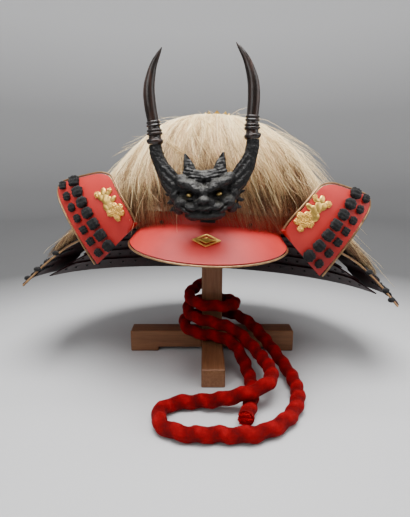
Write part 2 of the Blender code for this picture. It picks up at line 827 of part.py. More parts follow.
def build_crest():
    bm = bmesh.new()
    for lump in mask_lumps:
        for side in (1, -1) if lump["across"] else (1,):
            middle = mask_spot(side, lump)
            wide, deep, tall = lump["wide"], lump["deep"], lump["tall"]
            size = Matrix.Diagonal((wide * mask_half_width, deep * mask_depth, tall * mask_height, 1.0))
            spin = Matrix.Rotation(math.radians(side * lump["turn"]), 4, "Y")
            matrix = Matrix.Translation(middle) @ spin @ size
            bmesh.ops.create_icosphere(bm, subdivisions=3, radius=1.0, matrix=matrix)
    for side in (1, -1):
        ear = [mask_spot(side, row) for row in ear_line]
        add_tube(bm, ear, [row["thick"] * horn_radius for row in ear_line])
        arm = [(side * row["out"] * arm_reach, -arm_forward, row["up"] * arm_height) for row in arm_line]
        add_tube(bm, [Vector(p) for p in arm], [row["thick"] * horn_radius for row in arm_line], 12)
    bmesh.ops.recalc_face_normals(bm, faces=bm.faces)
    mask = from_bmesh(bm, "crest_mask", dark_iron, crest)
    blend(mask, 0.0013, 0.038)
    far = 0.2
    cut(mask, cutter("mask_back_cutter", (-far, 0, -far), (far, far, far), crest))
    mask.modifiers.move(2, 1)
    foot = arm_height + horn_gap + clearance
    lean = [(row["up"], row["out"]) for row in horn_line]
    for side, name in ((-1, "left"), (1, "right")):
        points, radii = [], []
        for row in horn_rings:
            across = read(lean, row["up"]) * arm_reach
            points.append(Vector((side * across, -arm_forward, foot + row["up"] * horn_height)))
            radii.append(horn_radius * row["thick"])
        tube(f"horn_{name}", points, horn_radius, horn_lacquer, crest, radii, fineness=2)
    front = -(bowl_half_length + clearance)
    back_of_mask = crest_back + 2 * clearance
    solid_box(
        "crest_prong",
        (-prong_width / 2, back_of_mask, prong_bottom),
        (prong_width / 2, front, prong_top),
        dark_iron,
        helmet,
    )


# Hair: an outer skin of ridged locks over a smooth lining that clears the bowl and the neck guard
# Shares of the reach and the fall, and where the lining lies: 0 to 1 down the bowl, then on along the guard
front_levels = (
    {"out": 0.00, "down": 0.00, "in": 0.00},
    {"out": 0.20, "down": 0.02, "in": 0.17},
    {"out": 0.45, "down": 0.11, "in": 0.33},
    {"out": 0.68, "down": 0.30, "in": 0.49},
    {"out": 0.87, "down": 0.55, "in": 0.64},
    {"out": 0.95, "down": 0.72, "in": 0.74},
    {"out": 0.98, "down": 0.84, "in": 0.80},
    {"out": 0.99, "down": 0.93, "in": 0.85},
    {"out": 1.00, "down": 1.00, "in": 0.885},
)
fall_levels = (
    {"out": 0.00, "down": 0.000, "in": 0.00},
    {"out": 0.15, "down": 0.020, "in": 0.22},
    {"out": 0.30, "down": 0.090, "in": 0.42},
    {"out": 0.45, "down": 0.240, "in": 0.62},
    {"out": 0.60, "down": 0.435, "in": 0.82},
    {"out": 0.72, "down": 0.650, "in": 1.00},
    {"out": 0.81, "down": 0.800, "in": 1.35},
    {"out": 0.90, "down": 0.905, "in": 1.68},
    {"out": 1.00, "down": 1.000, "in": 1.93},
)


# How far the hair stands out from the bowl's middle: close in front, then out behind the turned-back plates
def hair_near(angle):
    beside = smoothstep((abs(angle) - math.radians(20)) / math.radians(20))
    thickness = hair_crest_thickness + (hair_front_thickness - hair_crest_thickness) * beside
    return bowl_radius(angle) + hair_lining + thickness


def hair_reach(angle):
    near, turn = hair_near(angle), abs(angle)
    back = max(0.0, -math.cos(turn))
    full = hair_side_reach + (hair_back_reach - hair_side_reach) * back
    opened = smoothstep((turn - hair_part_angle) / math.radians(40))
    return near + (full - near) * opened


# The height of the neck guard's upper side at a distance from the bowl's middle
def guard_height(angle, reach):
    inner = bowl_radius(angle)
    outer = 1 / math.hypot(
        math.sin(angle) / (bowl_half_width + guard_flare),
        math.cos(angle) / (bowl_half_length + guard_back_flare),
    )
    rows = list(zip([out for _, out in wing_profile["out"]], [down for _, down in wing_profile["down"]]))
    share = max(0.0, (reach - inner) / (outer - inner))
    return guard_top - read(rows, share) * (guard_drop + wing_rise) + wing_rise


# The lining rests on the bowl round the crown ornament and stands off it further down
def lining_point(angle, at, reach):
    dome = bowl_radius(angle)
    if at <= 1.0:
        off = hair_seat + (hair_lining - hair_seat) * min(1.0, at * 3)
        highest = math.acos(hair_hole / dome)
        rise = highest * (1 - at)
        across, up = math.cos(rise) / dome, math.sin(rise) / bowl_height
        long = math.hypot(across, up)
        out = dome * math.cos(rise) + off * across / long
        up = bowl_height * math.sin(rise) + off * up / long
        return out, max(up, guard_height(angle, out) + 1.2 * hair_lining)
    out = dome + hair_lining + (reach - dome - hair_lining) * (at - 1)
    return out, guard_height(angle, out) + 1.2 * hair_lining


def hair_ring(level, columns):
    front, side = front_levels[level], fall_levels[level]
    share = level / (len(front_levels) - 1)
    out_ring, in_ring = [], []
    for k in range(columns):
        lock, ridge = divmod(k, 2)
        way = 1 if ridge else -1
        angle = 2 * math.pi * (k + 0.5) / columns - math.pi
        angle += 0.025 * math.sin(5.1 * lock + 3.0 * share) * share
        reach = hair_reach(angle)
        fall = smoothstep((reach - hair_near(angle)) / hair_fall_width)
        guard = guard_height(angle, reach) + hair_lining + hair_hem_thickness
        beside = smoothstep((abs(angle) - hair_crest_angle) / math.radians(8))
        near_hem = hair_crest_hem + (hair_front_hem - hair_crest_hem) * beside
        hem = near_hem + (guard - near_hem) * fall
        mixed = {key: front[key] * (1 - fall) + side[key] * fall for key in front}
        out = hair_hole + mixed["out"] * (reach - hair_hole)
        z = hair_top - mixed["down"] * (hair_top - hem)
        lift = lock_ridge * math.sin(math.pi * min(0.75, share)) * way
        inner_out, inner_z = lining_point(angle, mixed["in"], reach)
        if level == len(front_levels) - 1:
            tip = lock_tip * (0.6 + 0.4 * math.sin(2.3 * lock)) * ridge * fall
            out += tip * 0.75
            z -= tip * 0.50 + 0.002 * ridge * (1 - fall)
        out += lift * (0.5 + 0.5 * share)
        z += lift * (0.8 - 0.4 * share)
        ahead = Vector((math.sin(angle), -math.cos(angle), 0))
        out_ring.append(ahead * out + Vector((0, 0, z)))
        in_ring.append(ahead * inner_out + Vector((0, 0, inner_z)))
    return out_ring, in_ring


def build_hair():
    columns = 2 * hair_locks
    pairs = [hair_ring(level, columns) for level in range(len(front_levels))]
    rings = [outer for outer, _ in pairs] + [inner for _, inner in reversed(pairs)]
    bm = bmesh.new()
    rows = [[bm.verts.new(p) for p in ring] for ring in rings]
    for a, b in zip(rows, rows[1:] + rows[:1]):
        for k in range(columns):
            bm.faces.new((a[k - 1], a[k], b[k], b[k - 1]))
    bmesh.ops.recalc_face_normals(bm, faces=bm.faces)
    from_bmesh(bm, "hair", pale_hair, helmet)


# The cord hangs from a ring at the bowl's back, goes round the post and lies in a loop in front
cord_route = (
    (0.0027, 0.1045, 0.1665),
    (0.0026, 0.1010, 0.1400),
    (0.0020, 0.0760, 0.1100),
    (-0.0040, 0.0520, 0.0940),
    (-0.0240, 0.0270, 0.0850),
    (-0.0330, -0.0010, 0.0810),
    (-0.0200, -0.0270, 0.0775),
    (0.0070, -0.0320, 0.0750),
    (0.0290, -0.0180, 0.0720),
    (0.0330, 0.0070, 0.0690),
    (0.0180, 0.0290, 0.0665),
    (-0.0070, 0.0330, 0.0650),
    (-0.0290, 0.0190, 0.0630),
    (-0.0350, -0.0070, 0.0600),
    (-0.0210, -0.0310, 0.0570),
    (0.0060, -0.0390, 0.0530),
    (0.0280, -0.0430, 0.0455),
    (0.0460, -0.0570, 0.0350),
    (0.0580, -0.0820, 0.0290),
    (0.0660, -0.1120, 0.0275),
    (0.0670, -0.1420, 0.0275),
    (0.0520, -0.1660, 0.0270),
    (0.0240, -0.1710, 0.0200),
    (-0.0030, -0.1670, 0.0120),
    (-0.0270, -0.1640, 0.0088),
    (-0.0510, -0.1720, 0.0088),
    (-0.0590, -0.1930, 0.0088),
    (-0.0480, -0.2130, 0.0088),
    (-0.0230, -0.2220, 0.0088),
    (0.0030, -0.2220, 0.0088),
    (0.0300, -0.2230, 0.0088),
    (0.0560, -0.2140, 0.0088),
    (0.0800, -0.1900, 0.0088),
    (0.0950, -0.1560, 0.0088),
    (0.0980, -0.1180, 0.0100),
    (0.0900, -0.0780, 0.0150),
    (0.0740, -0.0420, 0.0290),
    (0.0560, -0.0110, 0.0415),
    (0.0360, 0.0180, 0.0440),
    (0.0100, 0.0350, 0.0430),
    (-0.0180, 0.0310, 0.0420),
    (-0.0380, 0.0110, 0.0415),
    (-0.0390, -0.0140, 0.0400),
    (-0.0220, -0.0330, 0.0360),
    (0.0010, -0.0420, 0.0355),
    (0.0240, -0.0550, 0.0335),
    (0.0380, -0.0750, 0.0210),
    (0.0440, -0.0960, 0.0090),
    (0.0460, -0.1220, 0.0088),
    (0.0440, -0.1480, 0.0088),
    (0.0390, -0.1740, 0.0088),
    (0.0310, -0.2010, 0.0115),
)


def build_cord():
    floor = cord_radius + clearance
    points = even_curve(cord_route, cord_points)
    for point in points:
        point.z = max(point.z, floor)
    tube("cord", points, cord_radius, red_cord, fineness=2)
    bpy.ops.mesh.primitive_torus_add(
        major_radius=ring_radius, minor_radius=ring_wire, major_segments=14, minor_segments=6
    )
    ring = bpy.context.active_object
    ring.rotation_euler = (0, math.radians(90), 0)
    seat = bowl_half_length - bowl_wall - ring_radius - ring_wire
    ring.location = (0, seat - 3 * clearance, ring_height)
    keep(ring, "cord_ring", gilt, helmet)


build_bowl()
build_stand(build_head_block())
build_brim()
build_lozenge()
build_crown()
build_guard()
build_plates()
build_crest()
build_hair()
build_cord()
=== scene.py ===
import math
import random

import bmesh
import bpy
import numpy
from mathutils import Matrix, Vector, noise
from mathutils.bvhtree import BVHTree


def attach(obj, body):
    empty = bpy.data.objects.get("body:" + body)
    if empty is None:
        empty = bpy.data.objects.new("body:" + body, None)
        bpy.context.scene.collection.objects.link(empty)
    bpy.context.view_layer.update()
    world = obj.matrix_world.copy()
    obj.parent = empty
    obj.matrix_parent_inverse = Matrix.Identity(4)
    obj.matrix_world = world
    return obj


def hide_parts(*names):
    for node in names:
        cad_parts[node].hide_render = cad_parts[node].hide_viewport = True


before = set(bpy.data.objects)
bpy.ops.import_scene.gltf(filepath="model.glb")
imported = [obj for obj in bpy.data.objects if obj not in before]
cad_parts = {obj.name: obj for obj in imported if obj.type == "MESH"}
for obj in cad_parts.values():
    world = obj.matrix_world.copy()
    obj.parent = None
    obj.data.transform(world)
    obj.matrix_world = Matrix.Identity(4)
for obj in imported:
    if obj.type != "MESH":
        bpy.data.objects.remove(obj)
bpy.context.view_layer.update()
print("frame loaded:", len(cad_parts), "nodes")

# Where the helmet sits on its post, and the crest on the helmet, as in the solids
seats = {
    "helmetAt": (0.0, -0.005, 0.190), "helmetTurn": -3.3, "helmetLean": 2.3, "helmetPitch": -6.0,
    "crestAt": (0.0, -0.137, 0.0073), "crestLean": -5.2, "crestPitch": 6.0,
}


def turned(at, turn, lean, pitch):
    spin = Matrix.Rotation(math.radians(turn), 4, "Z") @ Matrix.Rotation(math.radians(lean), 4, "Y")
    return Matrix.Translation(at) @ spin @ Matrix.Rotation(math.radians(pitch), 4, "X")


helmet = turned(seats["helmetAt"], seats["helmetTurn"], seats["helmetLean"], seats["helmetPitch"])
crest = helmet @ turned(seats["crestAt"], 0.0, seats["crestLean"], seats["crestPitch"])


def mm(x, y, z):
    return Vector((x, y, z)) / 1000


def smooth(x):
    x = min(1.0, max(0.0, x))
    return x * x * (3 - 2 * x)


def readTable(rows, at):
    for (a, va), (b, vb) in zip(rows, rows[1:]):
        if at <= b:
            return va + (vb - va) * (at - a) / (b - a)
    return rows[-1][1]


# ---- camera

# The lens and the picture's size give the line of sight for each spot of the view
shot = {
    "at": (-0.010, -0.585, 0.265), "tilt": 77.5, "lens": 29.25, "sensor": 36, "width": 410, "height": 517,
}
bpy.ops.object.select_all(action="DESELECT")
bpy.ops.object.camera_add(location=shot["at"], rotation=(math.radians(shot["tilt"]), 0, 0))
camera = bpy.context.active_object
camera.data.lens = shot["lens"]
camera.data.sensor_width = shot["sensor"]
bpy.context.scene.camera = camera


# ---- shader maths: arithmetic on a Wire adds its Math nodes

class Wire:
    def __init__(self, paint, socket):
        self.paint, self.socket = paint, socket

    def maths(self, operation, *values):
        return self.paint.node("ShaderNodeMath", {"operation": operation}, dict(enumerate(values)))

    def __add__(self, other):
        return self.maths("ADD", self, other)

    def __radd__(self, other):
        return self.maths("ADD", other, self)

    def __sub__(self, other):
        return self.maths("SUBTRACT", self, other)

    def __rsub__(self, other):
        return self.maths("SUBTRACT", other, self)

    def __mul__(self, other):
        return self.maths("MULTIPLY", self, other)

    def __rmul__(self, other):
        return self.maths("MULTIPLY", other, self)

    def __pow__(self, other):
        return self.maths("POWER", self, other)

    def clamped(self):
        return self.maths("MAXIMUM", self.maths("MINIMUM", self, 1.0), 0.0)

    # 0 up to a level, then rising to 1
    def over(self, level, steepness):
        return ((self - level) * steepness).clamped()

    def sine(self):
        return self.maths("SINE", self)


class Paint:
    def __init__(self, name, **fixed):
        self.material = bpy.data.materials.new(name)
        self.material.use_nodes = True
        self.tree = self.material.node_tree
        self.shader = self.tree.nodes["Principled BSDF"]
        for socket, value in fixed.items():
            self.shader.inputs[socket.replace("_", " ")].default_value = value

    def node(self, kind, settings=None, inputs=None, output=0):
        made = self.tree.nodes.new(kind)
        for key, value in (settings or {}).items():
            if key == "stops":
                ramp = made.color_ramp
                while len(ramp.elements) < len(value):
                    ramp.elements.new(0.5)
                for element, (at, colour) in zip(ramp.elements, value):
                    element.position = at
                    element.color = (*colour, 1.0) if len(colour) == 3 else colour
            else:
                setattr(made, key, value)
        for key, value in (inputs or {}).items():
            if isinstance(value, Wire):
                self.tree.links.new(value.socket, made.inputs[key])
            else:
                made.inputs[key].default_value = value
        return Wire(self, made.outputs[output])

    def feed(self, socket, wire):
        self.tree.links.new(wire.socket, self.shader.inputs[socket])
        return self

    def place(self, scale=(1.0, 1.0, 1.0)):
        at = self.node("ShaderNodeTexCoord", output="Object")
        return self.node("ShaderNodeMapping", None, {"Vector": at, "Scale": scale})

    def noise(self, size, detail=3.0, rough=0.55, scale=(1.0, 1.0, 1.0), twist=0.0):
        values = {"Vector": self.place(scale), "Scale": 1.0 / size, "Detail": detail}
        return self.node("ShaderNodeTexNoise", None, {**values, "Roughness": rough, "Distortion": twist})

    def split(self, wire, axis):
        return self.node("ShaderNodeSeparateXYZ", None, {"Vector": wire}, axis)

    def attribute(self, name):
        return self.node("ShaderNodeAttribute", {"attribute_name": name}, None, "Fac")

    def ramp(self, wire, *stops):
        return self.node("ShaderNodeValToRGB", {"stops": stops}, {"Fac": wire})

    def blend(self, share, first, second):
        first = (*first, 1.0) if isinstance(first, tuple) else first
        second = (*second, 1.0) if isinstance(second, tuple) else second
        return self.node("ShaderNodeMix", {"data_type": "RGBA"}, {0: share, 6: first, 7: second}, 2)

    def bump(self, height, depth, strength=1.0):
        values = {"Height": height, "Distance": depth, "Strength": strength}
        return self.feed("Normal", self.node("ShaderNodeBump", None, values))


# ---- finishes: noise sizes in metres, colours in linear red, green and blue

def redLacquer():
    paint = Paint("red lacquer", Coat_Roughness=0.35, Specular_IOR_Level=0.27)
    cloud = paint.noise(0.045, 4.0)
    fleck = paint.noise(0.0035, 5.0, 0.7)
    tones = (0.25, (0.38, 0.017, 0.015)), (0.55, (0.48, 0.025, 0.021)), (0.8, (0.55, 0.040, 0.032))
    # Painted shade: below a height of 0.185 m the lacquer darkens, by up to 55 percent, towards the deep
    # colour
    deep, worn, paintedShadeBelow = (0.16, 0.010, 0.012), (0.30, 0.030, 0.026), 0.185
    low = ((paintedShadeBelow - paint.split(paint.place(), 2)) * 30.0).clamped() * 0.55
    rubbed = fleck.over(0.60, 7.0) * 0.30
    paint.feed("Base Color", paint.blend(rubbed, paint.blend(low, paint.ramp(cloud, *tones), deep), worn))
    paint.feed("Roughness", 0.52 + (cloud - 0.5) * 0.20 + rubbed * 0.4)
    paint.feed("Coat Weight", (0.10 - rubbed * 0.3).clamped())
    return paint.bump(cloud * 0.7 + fleck * 0.12, 0.0008, 0.35).material


# Redder in front, between the turned-back plates
def maroonLacquer():
    paint = Paint("maroon lacquer", Specular_IOR_Level=0.10)
    cloud = paint.noise(0.030, 4.0)
    scuff = paint.noise(0.004, 5.0, 0.7, (1.0, 1.0, 3.0))
    dark = paint.ramp(cloud, (0.3, (0.012, 0.003, 0.004)), (0.7, (0.032, 0.006, 0.008)))
    redder, rubbed = (0.150, 0.012, 0.014), (0.10, 0.045, 0.035)
    x, y = (paint.split(paint.place(), axis) for axis in (0, 1))
    ahead = ((y * -12.0).clamped() * (1.9 - (x * x) * 62.0).clamped()) * 0.75
    worn = scuff.over(0.62, 6.0) * 0.5
    paint.feed("Base Color", paint.blend(worn, paint.blend(ahead, dark, redder), rubbed))
    paint.feed("Roughness", 0.55 + worn * 0.3)
    return paint.bump(scuff * 0.4 + cloud, 0.0008, 0.4).material


def giltMetal(name, bright, dull, metal=1.0):
    paint = Paint(name, Metallic=metal)
    cloud = paint.noise(0.006, 4.0, 0.65)
    grain = paint.noise(0.0011, 3.0, 0.6)
    tarnish = cloud.over(0.45, 3.0)
    paint.feed("Base Color", paint.blend(tarnish, bright, dull))
    paint.feed("Roughness", 0.30 + tarnish * 0.22 + (grain - 0.5) * 0.1)
    return paint.bump(grain + cloud * 0.6, 0.0003, 0.5).material


# Painted highlight: greyer where its faces look up, which the attribute "rise" holds; also greyer in random
# patches and pits
def castIron():
    paint = Paint("black cast iron", Specular_IOR_Level=0.45, Metallic=0.35)
    pits = paint.noise(0.0016, 6.0, 0.7)
    cloud = paint.noise(0.011, 4.0, 0.6)
    lit = ((paint.attribute("rise") - 0.05) * 0.9 + (cloud - 0.5) * 1.4 + (pits - 0.5) * 1.0).clamped()
    tones = (0.0, (0.007, 0.0065, 0.0065)), (0.45, (0.020, 0.019, 0.018)), (1.0, (0.064, 0.062, 0.053))
    paint.feed("Base Color", paint.ramp(lit, *tones))
    paint.feed("Roughness", 0.46 + (pits - 0.5) * 0.3)
    return paint.bump(pits + cloud * 0.5, 0.0006, 0.6).material


def hornLacquer():
    paint = Paint("dark horn lacquer", Coat_Weight=0.25, Coat_Roughness=0.22, Specular_IOR_Level=0.35)
    grain = paint.noise(0.004, 4.0, 0.6, (1.0, 1.0, 0.08))
    cloud = paint.noise(0.02, 3.0)
    streak = grain.over(0.42, 3.2) * cloud.over(0.3, 2.4)
    paint.feed("Base Color", paint.blend(streak, (0.010, 0.006, 0.0045), (0.075, 0.024, 0.010)))
    paint.feed("Roughness", 0.30 + (grain - 0.5) * 0.25)
    return paint.bump(grain, 0.0004, 0.5).material


def blackSilk():
    paint = Paint("black silk lacing", Sheen_Weight=0.10, Sheen_Roughness=0.4, Specular_IOR_Level=0.22)
    at = paint.place()
    x, y, z = (paint.split(at, axis) for axis in range(3))
    threads = 5200.0
    twill = (((x + z) * threads).sine() * ((z - x + y) * threads).sine() + 1.0) * 0.5
    fuzz = paint.noise(0.0012, 4.0, 0.7)
    shade = (twill * 0.6 + fuzz * 0.5).clamped()
    paint.feed("Base Color", paint.blend(shade, (0.0025, 0.0025, 0.003), (0.014, 0.013, 0.013)))
    paint.feed("Roughness", 0.72 + (fuzz - 0.5) * 0.3)
    return paint.bump(twill + fuzz, 0.0003, 0.7).material


# The attribute "tone" carries painted shade as well as each strand's own tone
def paleHair(name):
    paint = Paint(name, Roughness=0.48, Specular_IOR_Level=0.45)
    tone, along, ginger = (paint.attribute(key) for key in ("tone", "along", "ginger"))
    shade = (tone * 0.85 + (1.0 - along) * 0.15).clamped()
    colour = paint.ramp(
        shade,
        (0.0, (0.060, 0.030, 0.014)),
        (0.20, (0.23, 0.130, 0.060)),
        (0.45, (0.56, 0.365, 0.165)),
        (0.70, (0.90, 0.67, 0.340)),
        (1.0, (0.99, 0.84, 0.520)),
    )
    paint.feed("Base Color", paint.blend(ginger.over(0.5, 2.0) * 0.75, colour, (0.40, 0.13, 0.060)))
    return paint.material


def hairBase():
    paint = Paint("matted hair", Roughness=0.8)
    strands = paint.noise(0.0022, 4.0, 0.65, (1.0, 1.0, 0.12))
    cloud = paint.noise(0.03, 3.0)
    shade = (strands * 0.7 + cloud * 0.5 - 0.1).clamped()
    tones = (0.2, (0.12, 0.070, 0.038)), (0.55, (0.34, 0.235, 0.135)), (0.9, (0.58, 0.45, 0.28))
    paint.feed("Base Color", paint.ramp(shade, *tones))
    return paint.bump(strands, 0.0015, 0.8).material


# Lines and pores are drawn out along the grain's axis
def plainWood(name, grain):
    paint = Paint(name, Specular_IOR_Level=0.35)
    warp = paint.noise(0.05, 2.0)
    lines = paint.noise(0.0032, 5.0, 0.65, tuple(0.05 if k == grain else 1.0 for k in range(3)), twist=0.3)
    pores = paint.noise(0.0009, 3.0, 0.7, tuple(0.04 if k == grain else 1.0 for k in range(3)))
    shade = (lines * 0.75 + warp * 0.45 - 0.12).clamped()
    tones = (0.25, (0.105, 0.042, 0.018)), (0.5, (0.185, 0.078, 0.034)), (0.8, (0.27, 0.125, 0.058))
    dark = pores.over(0.60, 6.0) * 0.45
    paint.feed("Base Color", paint.blend(dark, paint.ramp(shade, *tones), (0.075, 0.030, 0.014)))
    paint.feed("Roughness", 0.50 + dark * 0.4)
    return paint.bump(lines + pores * 0.4, 0.0004, 0.5).material


# Painted shade: darker in the cord's grooves, which the attribute "groove" holds
def redVelvet(name, lift):
    sheen = {"Sheen_Weight": 0.12, "Sheen_Roughness": 0.4, "Sheen_Tint": (1.0, 0.04, 0.05, 1.0)}
    paint = Paint(name, Specular_IOR_Level=0.08, **sheen)
    nap = paint.noise(0.0013, 6.0, 0.8)
    crush = paint.noise(0.006, 5.0, 0.65)
    shade = (crush * 0.7 + nap * 0.5 - paint.attribute("groove") * 0.40 + lift).clamped()
    tones = (0.0, (0.035, 0.0006, 0.0012)), (0.45, (0.17, 0.0012, 0.003)), (0.9, (0.36, 0.003, 0.006))
    paint.feed("Base Color", paint.ramp(shade, *tones))
    paint.feed("Roughness", 0.82 + (nap - 0.5) * 0.2)
    return paint.bump(nap * 1.2 + crush, 0.0016, 0.9).material


finishes = {
    "red": redLacquer(),
    "maroon": maroonLacquer(),
    "gilt": giltMetal("bright gilt", (0.88, 0.56, 0.14), (0.46, 0.25, 0.055)),
    "agedGilt": giltMetal("aged gilt edge", (0.34, 0.20, 0.095), (0.12, 0.062, 0.035), 0.8),
    "iron": castIron(),
    "horn": hornLacquer(),
    "silk": blackSilk(),
    "hair": paleHair("pale hair strands"),
    "hairBase": hairBase(),
    "woodAcross": plainWood("wood, grain across", 0),
    "woodAhead": plainWood("wood, grain ahead", 1),
    "woodUp": plainWood("wood, grain up", 2),
    "velvet": redVelvet("red velvet", 0.0),
    "velvetEnd": redVelvet("frayed velvet", 0.3),
    "eye": giltMetal("eye gilt", (0.50, 0.36, 0.13), (0.20, 0.12, 0.04)),
}
print("finishes made:", len(finishes))


# ---- making and finishing pieces

def keepValues(mesh, name, values):
    mesh.attributes.new(name, "FLOAT", "POINT").data.foreach_set("value", values)


def place(piece, finish, slot, *nodes):
    piece.data.materials.clear()
    piece.data.materials.append(finishes[finish])
    # The iron's painted highlight reads how far each vertex faces up
    if finish == "iron":
        keepValues(piece.data, "rise", [vert.normal.z for vert in piece.data.vertices])
    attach(piece, "root")
    if nodes:
        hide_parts(*nodes)
    return piece


def fromMesh(name, bm, smoothAngle=180):
    mesh = bpy.data.meshes.new(name)
    bm.to_mesh(mesh)
    bm.free()
    piece = bpy.data.objects.new(name, mesh)
    bpy.context.scene.collection.objects.link(piece)
    shade(piece, smoothAngle)
    return piece


def shade(piece, angle):
    piece.data.shade_smooth()
    if angle < 180:
        piece.data.set_sharp_from_angle(angle=math.radians(angle))


def applied(piece, kind, **settings):
    step = piece.modifiers.new(kind.lower(), kind)
    for key, value in settings.items():
        setattr(step, key, value)
    bpy.ops.object.select_all(action="DESELECT")
    bpy.context.view_layer.objects.active = piece
    piece.select_set(True)
    bpy.ops.object.modifier_apply(modifier=step.name)
    return piece


# Metres, and degrees between faces that are joined
refining = {"merge": 0.00002, "flat": 18, "square": 60}


def mergedCopy(node):
    bm = bmesh.new()
    bm.from_mesh(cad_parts[node].data)
    bmesh.ops.remove_doubles(bm, verts=bm.verts, dist=refining["merge"])
    return bm


# A finer copy of a solid: the same form, with its long creases kept
def refined(node, name, levels=2, creaseAngle=40, smoothAngle=40):
    bm = mergedCopy(node)
    flat, square = (math.radians(refining[key]) for key in ("flat", "square"))
    bmesh.ops.join_triangles(bm, faces=bm.faces, angle_face_threshold=flat, angle_shape_threshold=square)
    sharp = bm.edges.layers.float.new("crease_edge")
    for edge in bm.edges:
        if len(edge.link_faces) == 2 and edge.calc_face_angle() > math.radians(creaseAngle):
            edge[sharp] = 1.0
    piece = fromMesh(name, bm)
    if levels:
        applied(piece, "SUBSURF", levels=levels, render_levels=levels, boundary_smooth="PRESERVE_CORNERS")
    shade(piece, smoothAngle)
    return piece


def joined(name, pieces):
    bpy.ops.object.select_all(action="DESELECT")
    for piece in pieces:
        piece.select_set(True)
    bpy.context.view_layer.objects.active = pieces[0]
    bpy.ops.object.join()
    pieces[0].name = name
    pieces[0].data.name = name
    return pieces[0]


# The way ahead and two directions across it, for each point of a line, without a twist
def frames(points):
    side = None
    for i in range(len(points)):
        ahead = (points[min(i + 1, len(points) - 1)] - points[max(i - 1, 0)]).normalized()
        side = ahead.orthogonal().normalized() if side is None else side
        side = (side - ahead * side.dot(ahead)).normalized()
        yield ahead, side, ahead.cross(side)


def skin(bm, rings):
    for a, b in zip(rings, rings[1:]):
        for k in range(len(a)):
            after = (k + 1) % len(a)
            bm.faces.new((a[k], a[after], b[after], b[k]))


def tubeMesh(bm, points, radii, sides=8):
    rings = []
    turns = [2 * math.pi * k / sides for k in range(sides)]
    for point, radius, (_, side, other) in zip(points, radii, frames(points)):
        spots = [point + (side * math.cos(turn) + other * math.sin(turn)) * radius for turn in turns]
        rings.append([bm.verts.new(spot) for spot in spots])
    skin(bm, rings)
    bm.faces.new(reversed(rings[0]))
    bm.faces.new(rings[-1])


def surfaceTree(*nodes):
    verts, faces = [], []
    for node in nodes:
        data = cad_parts[node].data
        start = len(verts)
        verts += [v.co.copy() for v in data.vertices]
        faces += [[start + i for i in p.vertices] for p in data.polygons]
    return BVHTree.FromPolygons(verts, faces)


def lump(bm, matrix, size, finer=2):
    scale = Matrix.Diagonal((*size, 1.0))
    return bmesh.ops.create_icosphere(bm, subdivisions=finer, radius=1.0, matrix=matrix @ scale)["verts"]


def facing(point, normal, spin=0.0):
    turn = normal.to_track_quat("Z", "Y").to_matrix().to_4x4()
    return Matrix.Translation(point) @ turn @ Matrix.Rotation(spin, 4, "Z")


# Radians between neighbours of an even spread over a disc
goldenTurn = 2.39996


# ---- cord: metres, and its route in millimetres

cordShape = {
    "radius": 0.0085, "slim": 0.93, "sides": 28, "steps": 700, "nodePoints": 78, "floorGap": 0.0003,
    "pitch": 0.024, "swell": 0.0009, "fold": 0.00022, "folds": 3, "foldDrift": 1.7,
    "sway": 0.5, "swayRate": 47, "uneven": 0.0007, "unevenRate": 60, "fuzz": 0.0004, "fuzzRate": 900,
    "endRim": 0.0024, "endSink": 0.0007, "endGroove": 0.2,
    "route": (
        (2.7, 104.5, 166.5), (2.6, 101, 140), (2, 76, 110), (-4, 52, 94), (-24, 27, 85), (-33, -1, 81),
        (-20, -27, 77.5), (7, -32, 75), (29, -18, 72), (33, 7, 69), (18, 29, 66.5), (-7, 33, 65),
        (-29, 19, 63), (-35, -7, 60), (-21, -31, 57), (6, -39, 53), (28, -43, 45.5), (46, -57, 35),
        (58, -82, 29), (66, -112, 27.5), (67, -142, 27.5), (52, -166, 27), (24, -171, 20), (-3, -167, 12),
        (-27, -164, 8.8), (-51, -172, 8.8), (-59, -193, 8.8), (-48, -213, 8.8), (-23, -222, 8.8),
        (3, -222, 8.8), (30, -223, 8.8), (56, -214, 8.8), (80, -190, 8.8), (95, -156, 8.8), (98, -118, 10),
        (90, -78, 15), (74, -42, 29), (56, -11, 41.5), (36, 18, 44), (10, 35, 43), (-18, 31, 42),
        (-38, 11, 41.5), (-39, -14, 40), (-22, -33, 36), (1, -42, 35.5), (24, -55, 33.5), (38, -75, 21),
        (44, -96, 9), (46, -122, 8.8), (44, -148, 8.8), (39, -174, 8.8), (31, -201, 11.5),
    ),
}
tuftShape = {
    "grains": 54, "share": 0.86, "wide": 0.0009, "tall": (0.0012, 0.0024), "out": (-0.0004, 0.0012),
    "low": 0.0011,
}
print("helpers ready")


def smoothRoute(points, count, steps=24):
    points = [Vector(p) for p in points]
    padded = [2 * points[0] - points[1], *points, 2 * points[-1] - points[-2]]
    fine = []
    for a, b, c, d in zip(padded, padded[1:], padded[2:], padded[3:]):
        for i in range(steps):
            t = i / steps
            curve = 2 * b + (c - a) * t + (2 * a - 5 * b + 4 * c - d) * t * t + (3 * b - a - 3 * c + d) * t**3
            fine.append(0.5 * curve)
    fine.append(points[-1])
    along = [0.0]
    for a, b in zip(fine, fine[1:]):
        along.append(along[-1] + (b - a).length)
    found, at = [], 0
    for i in range(count):
        want = along[-1] * i / (count - 1)
        while at < len(fine) - 2 and along[at + 1] < want:
            at += 1
        found.append(fine[at].lerp(fine[at + 1], (want - along[at]) / (along[at + 1] - along[at])))
    return found


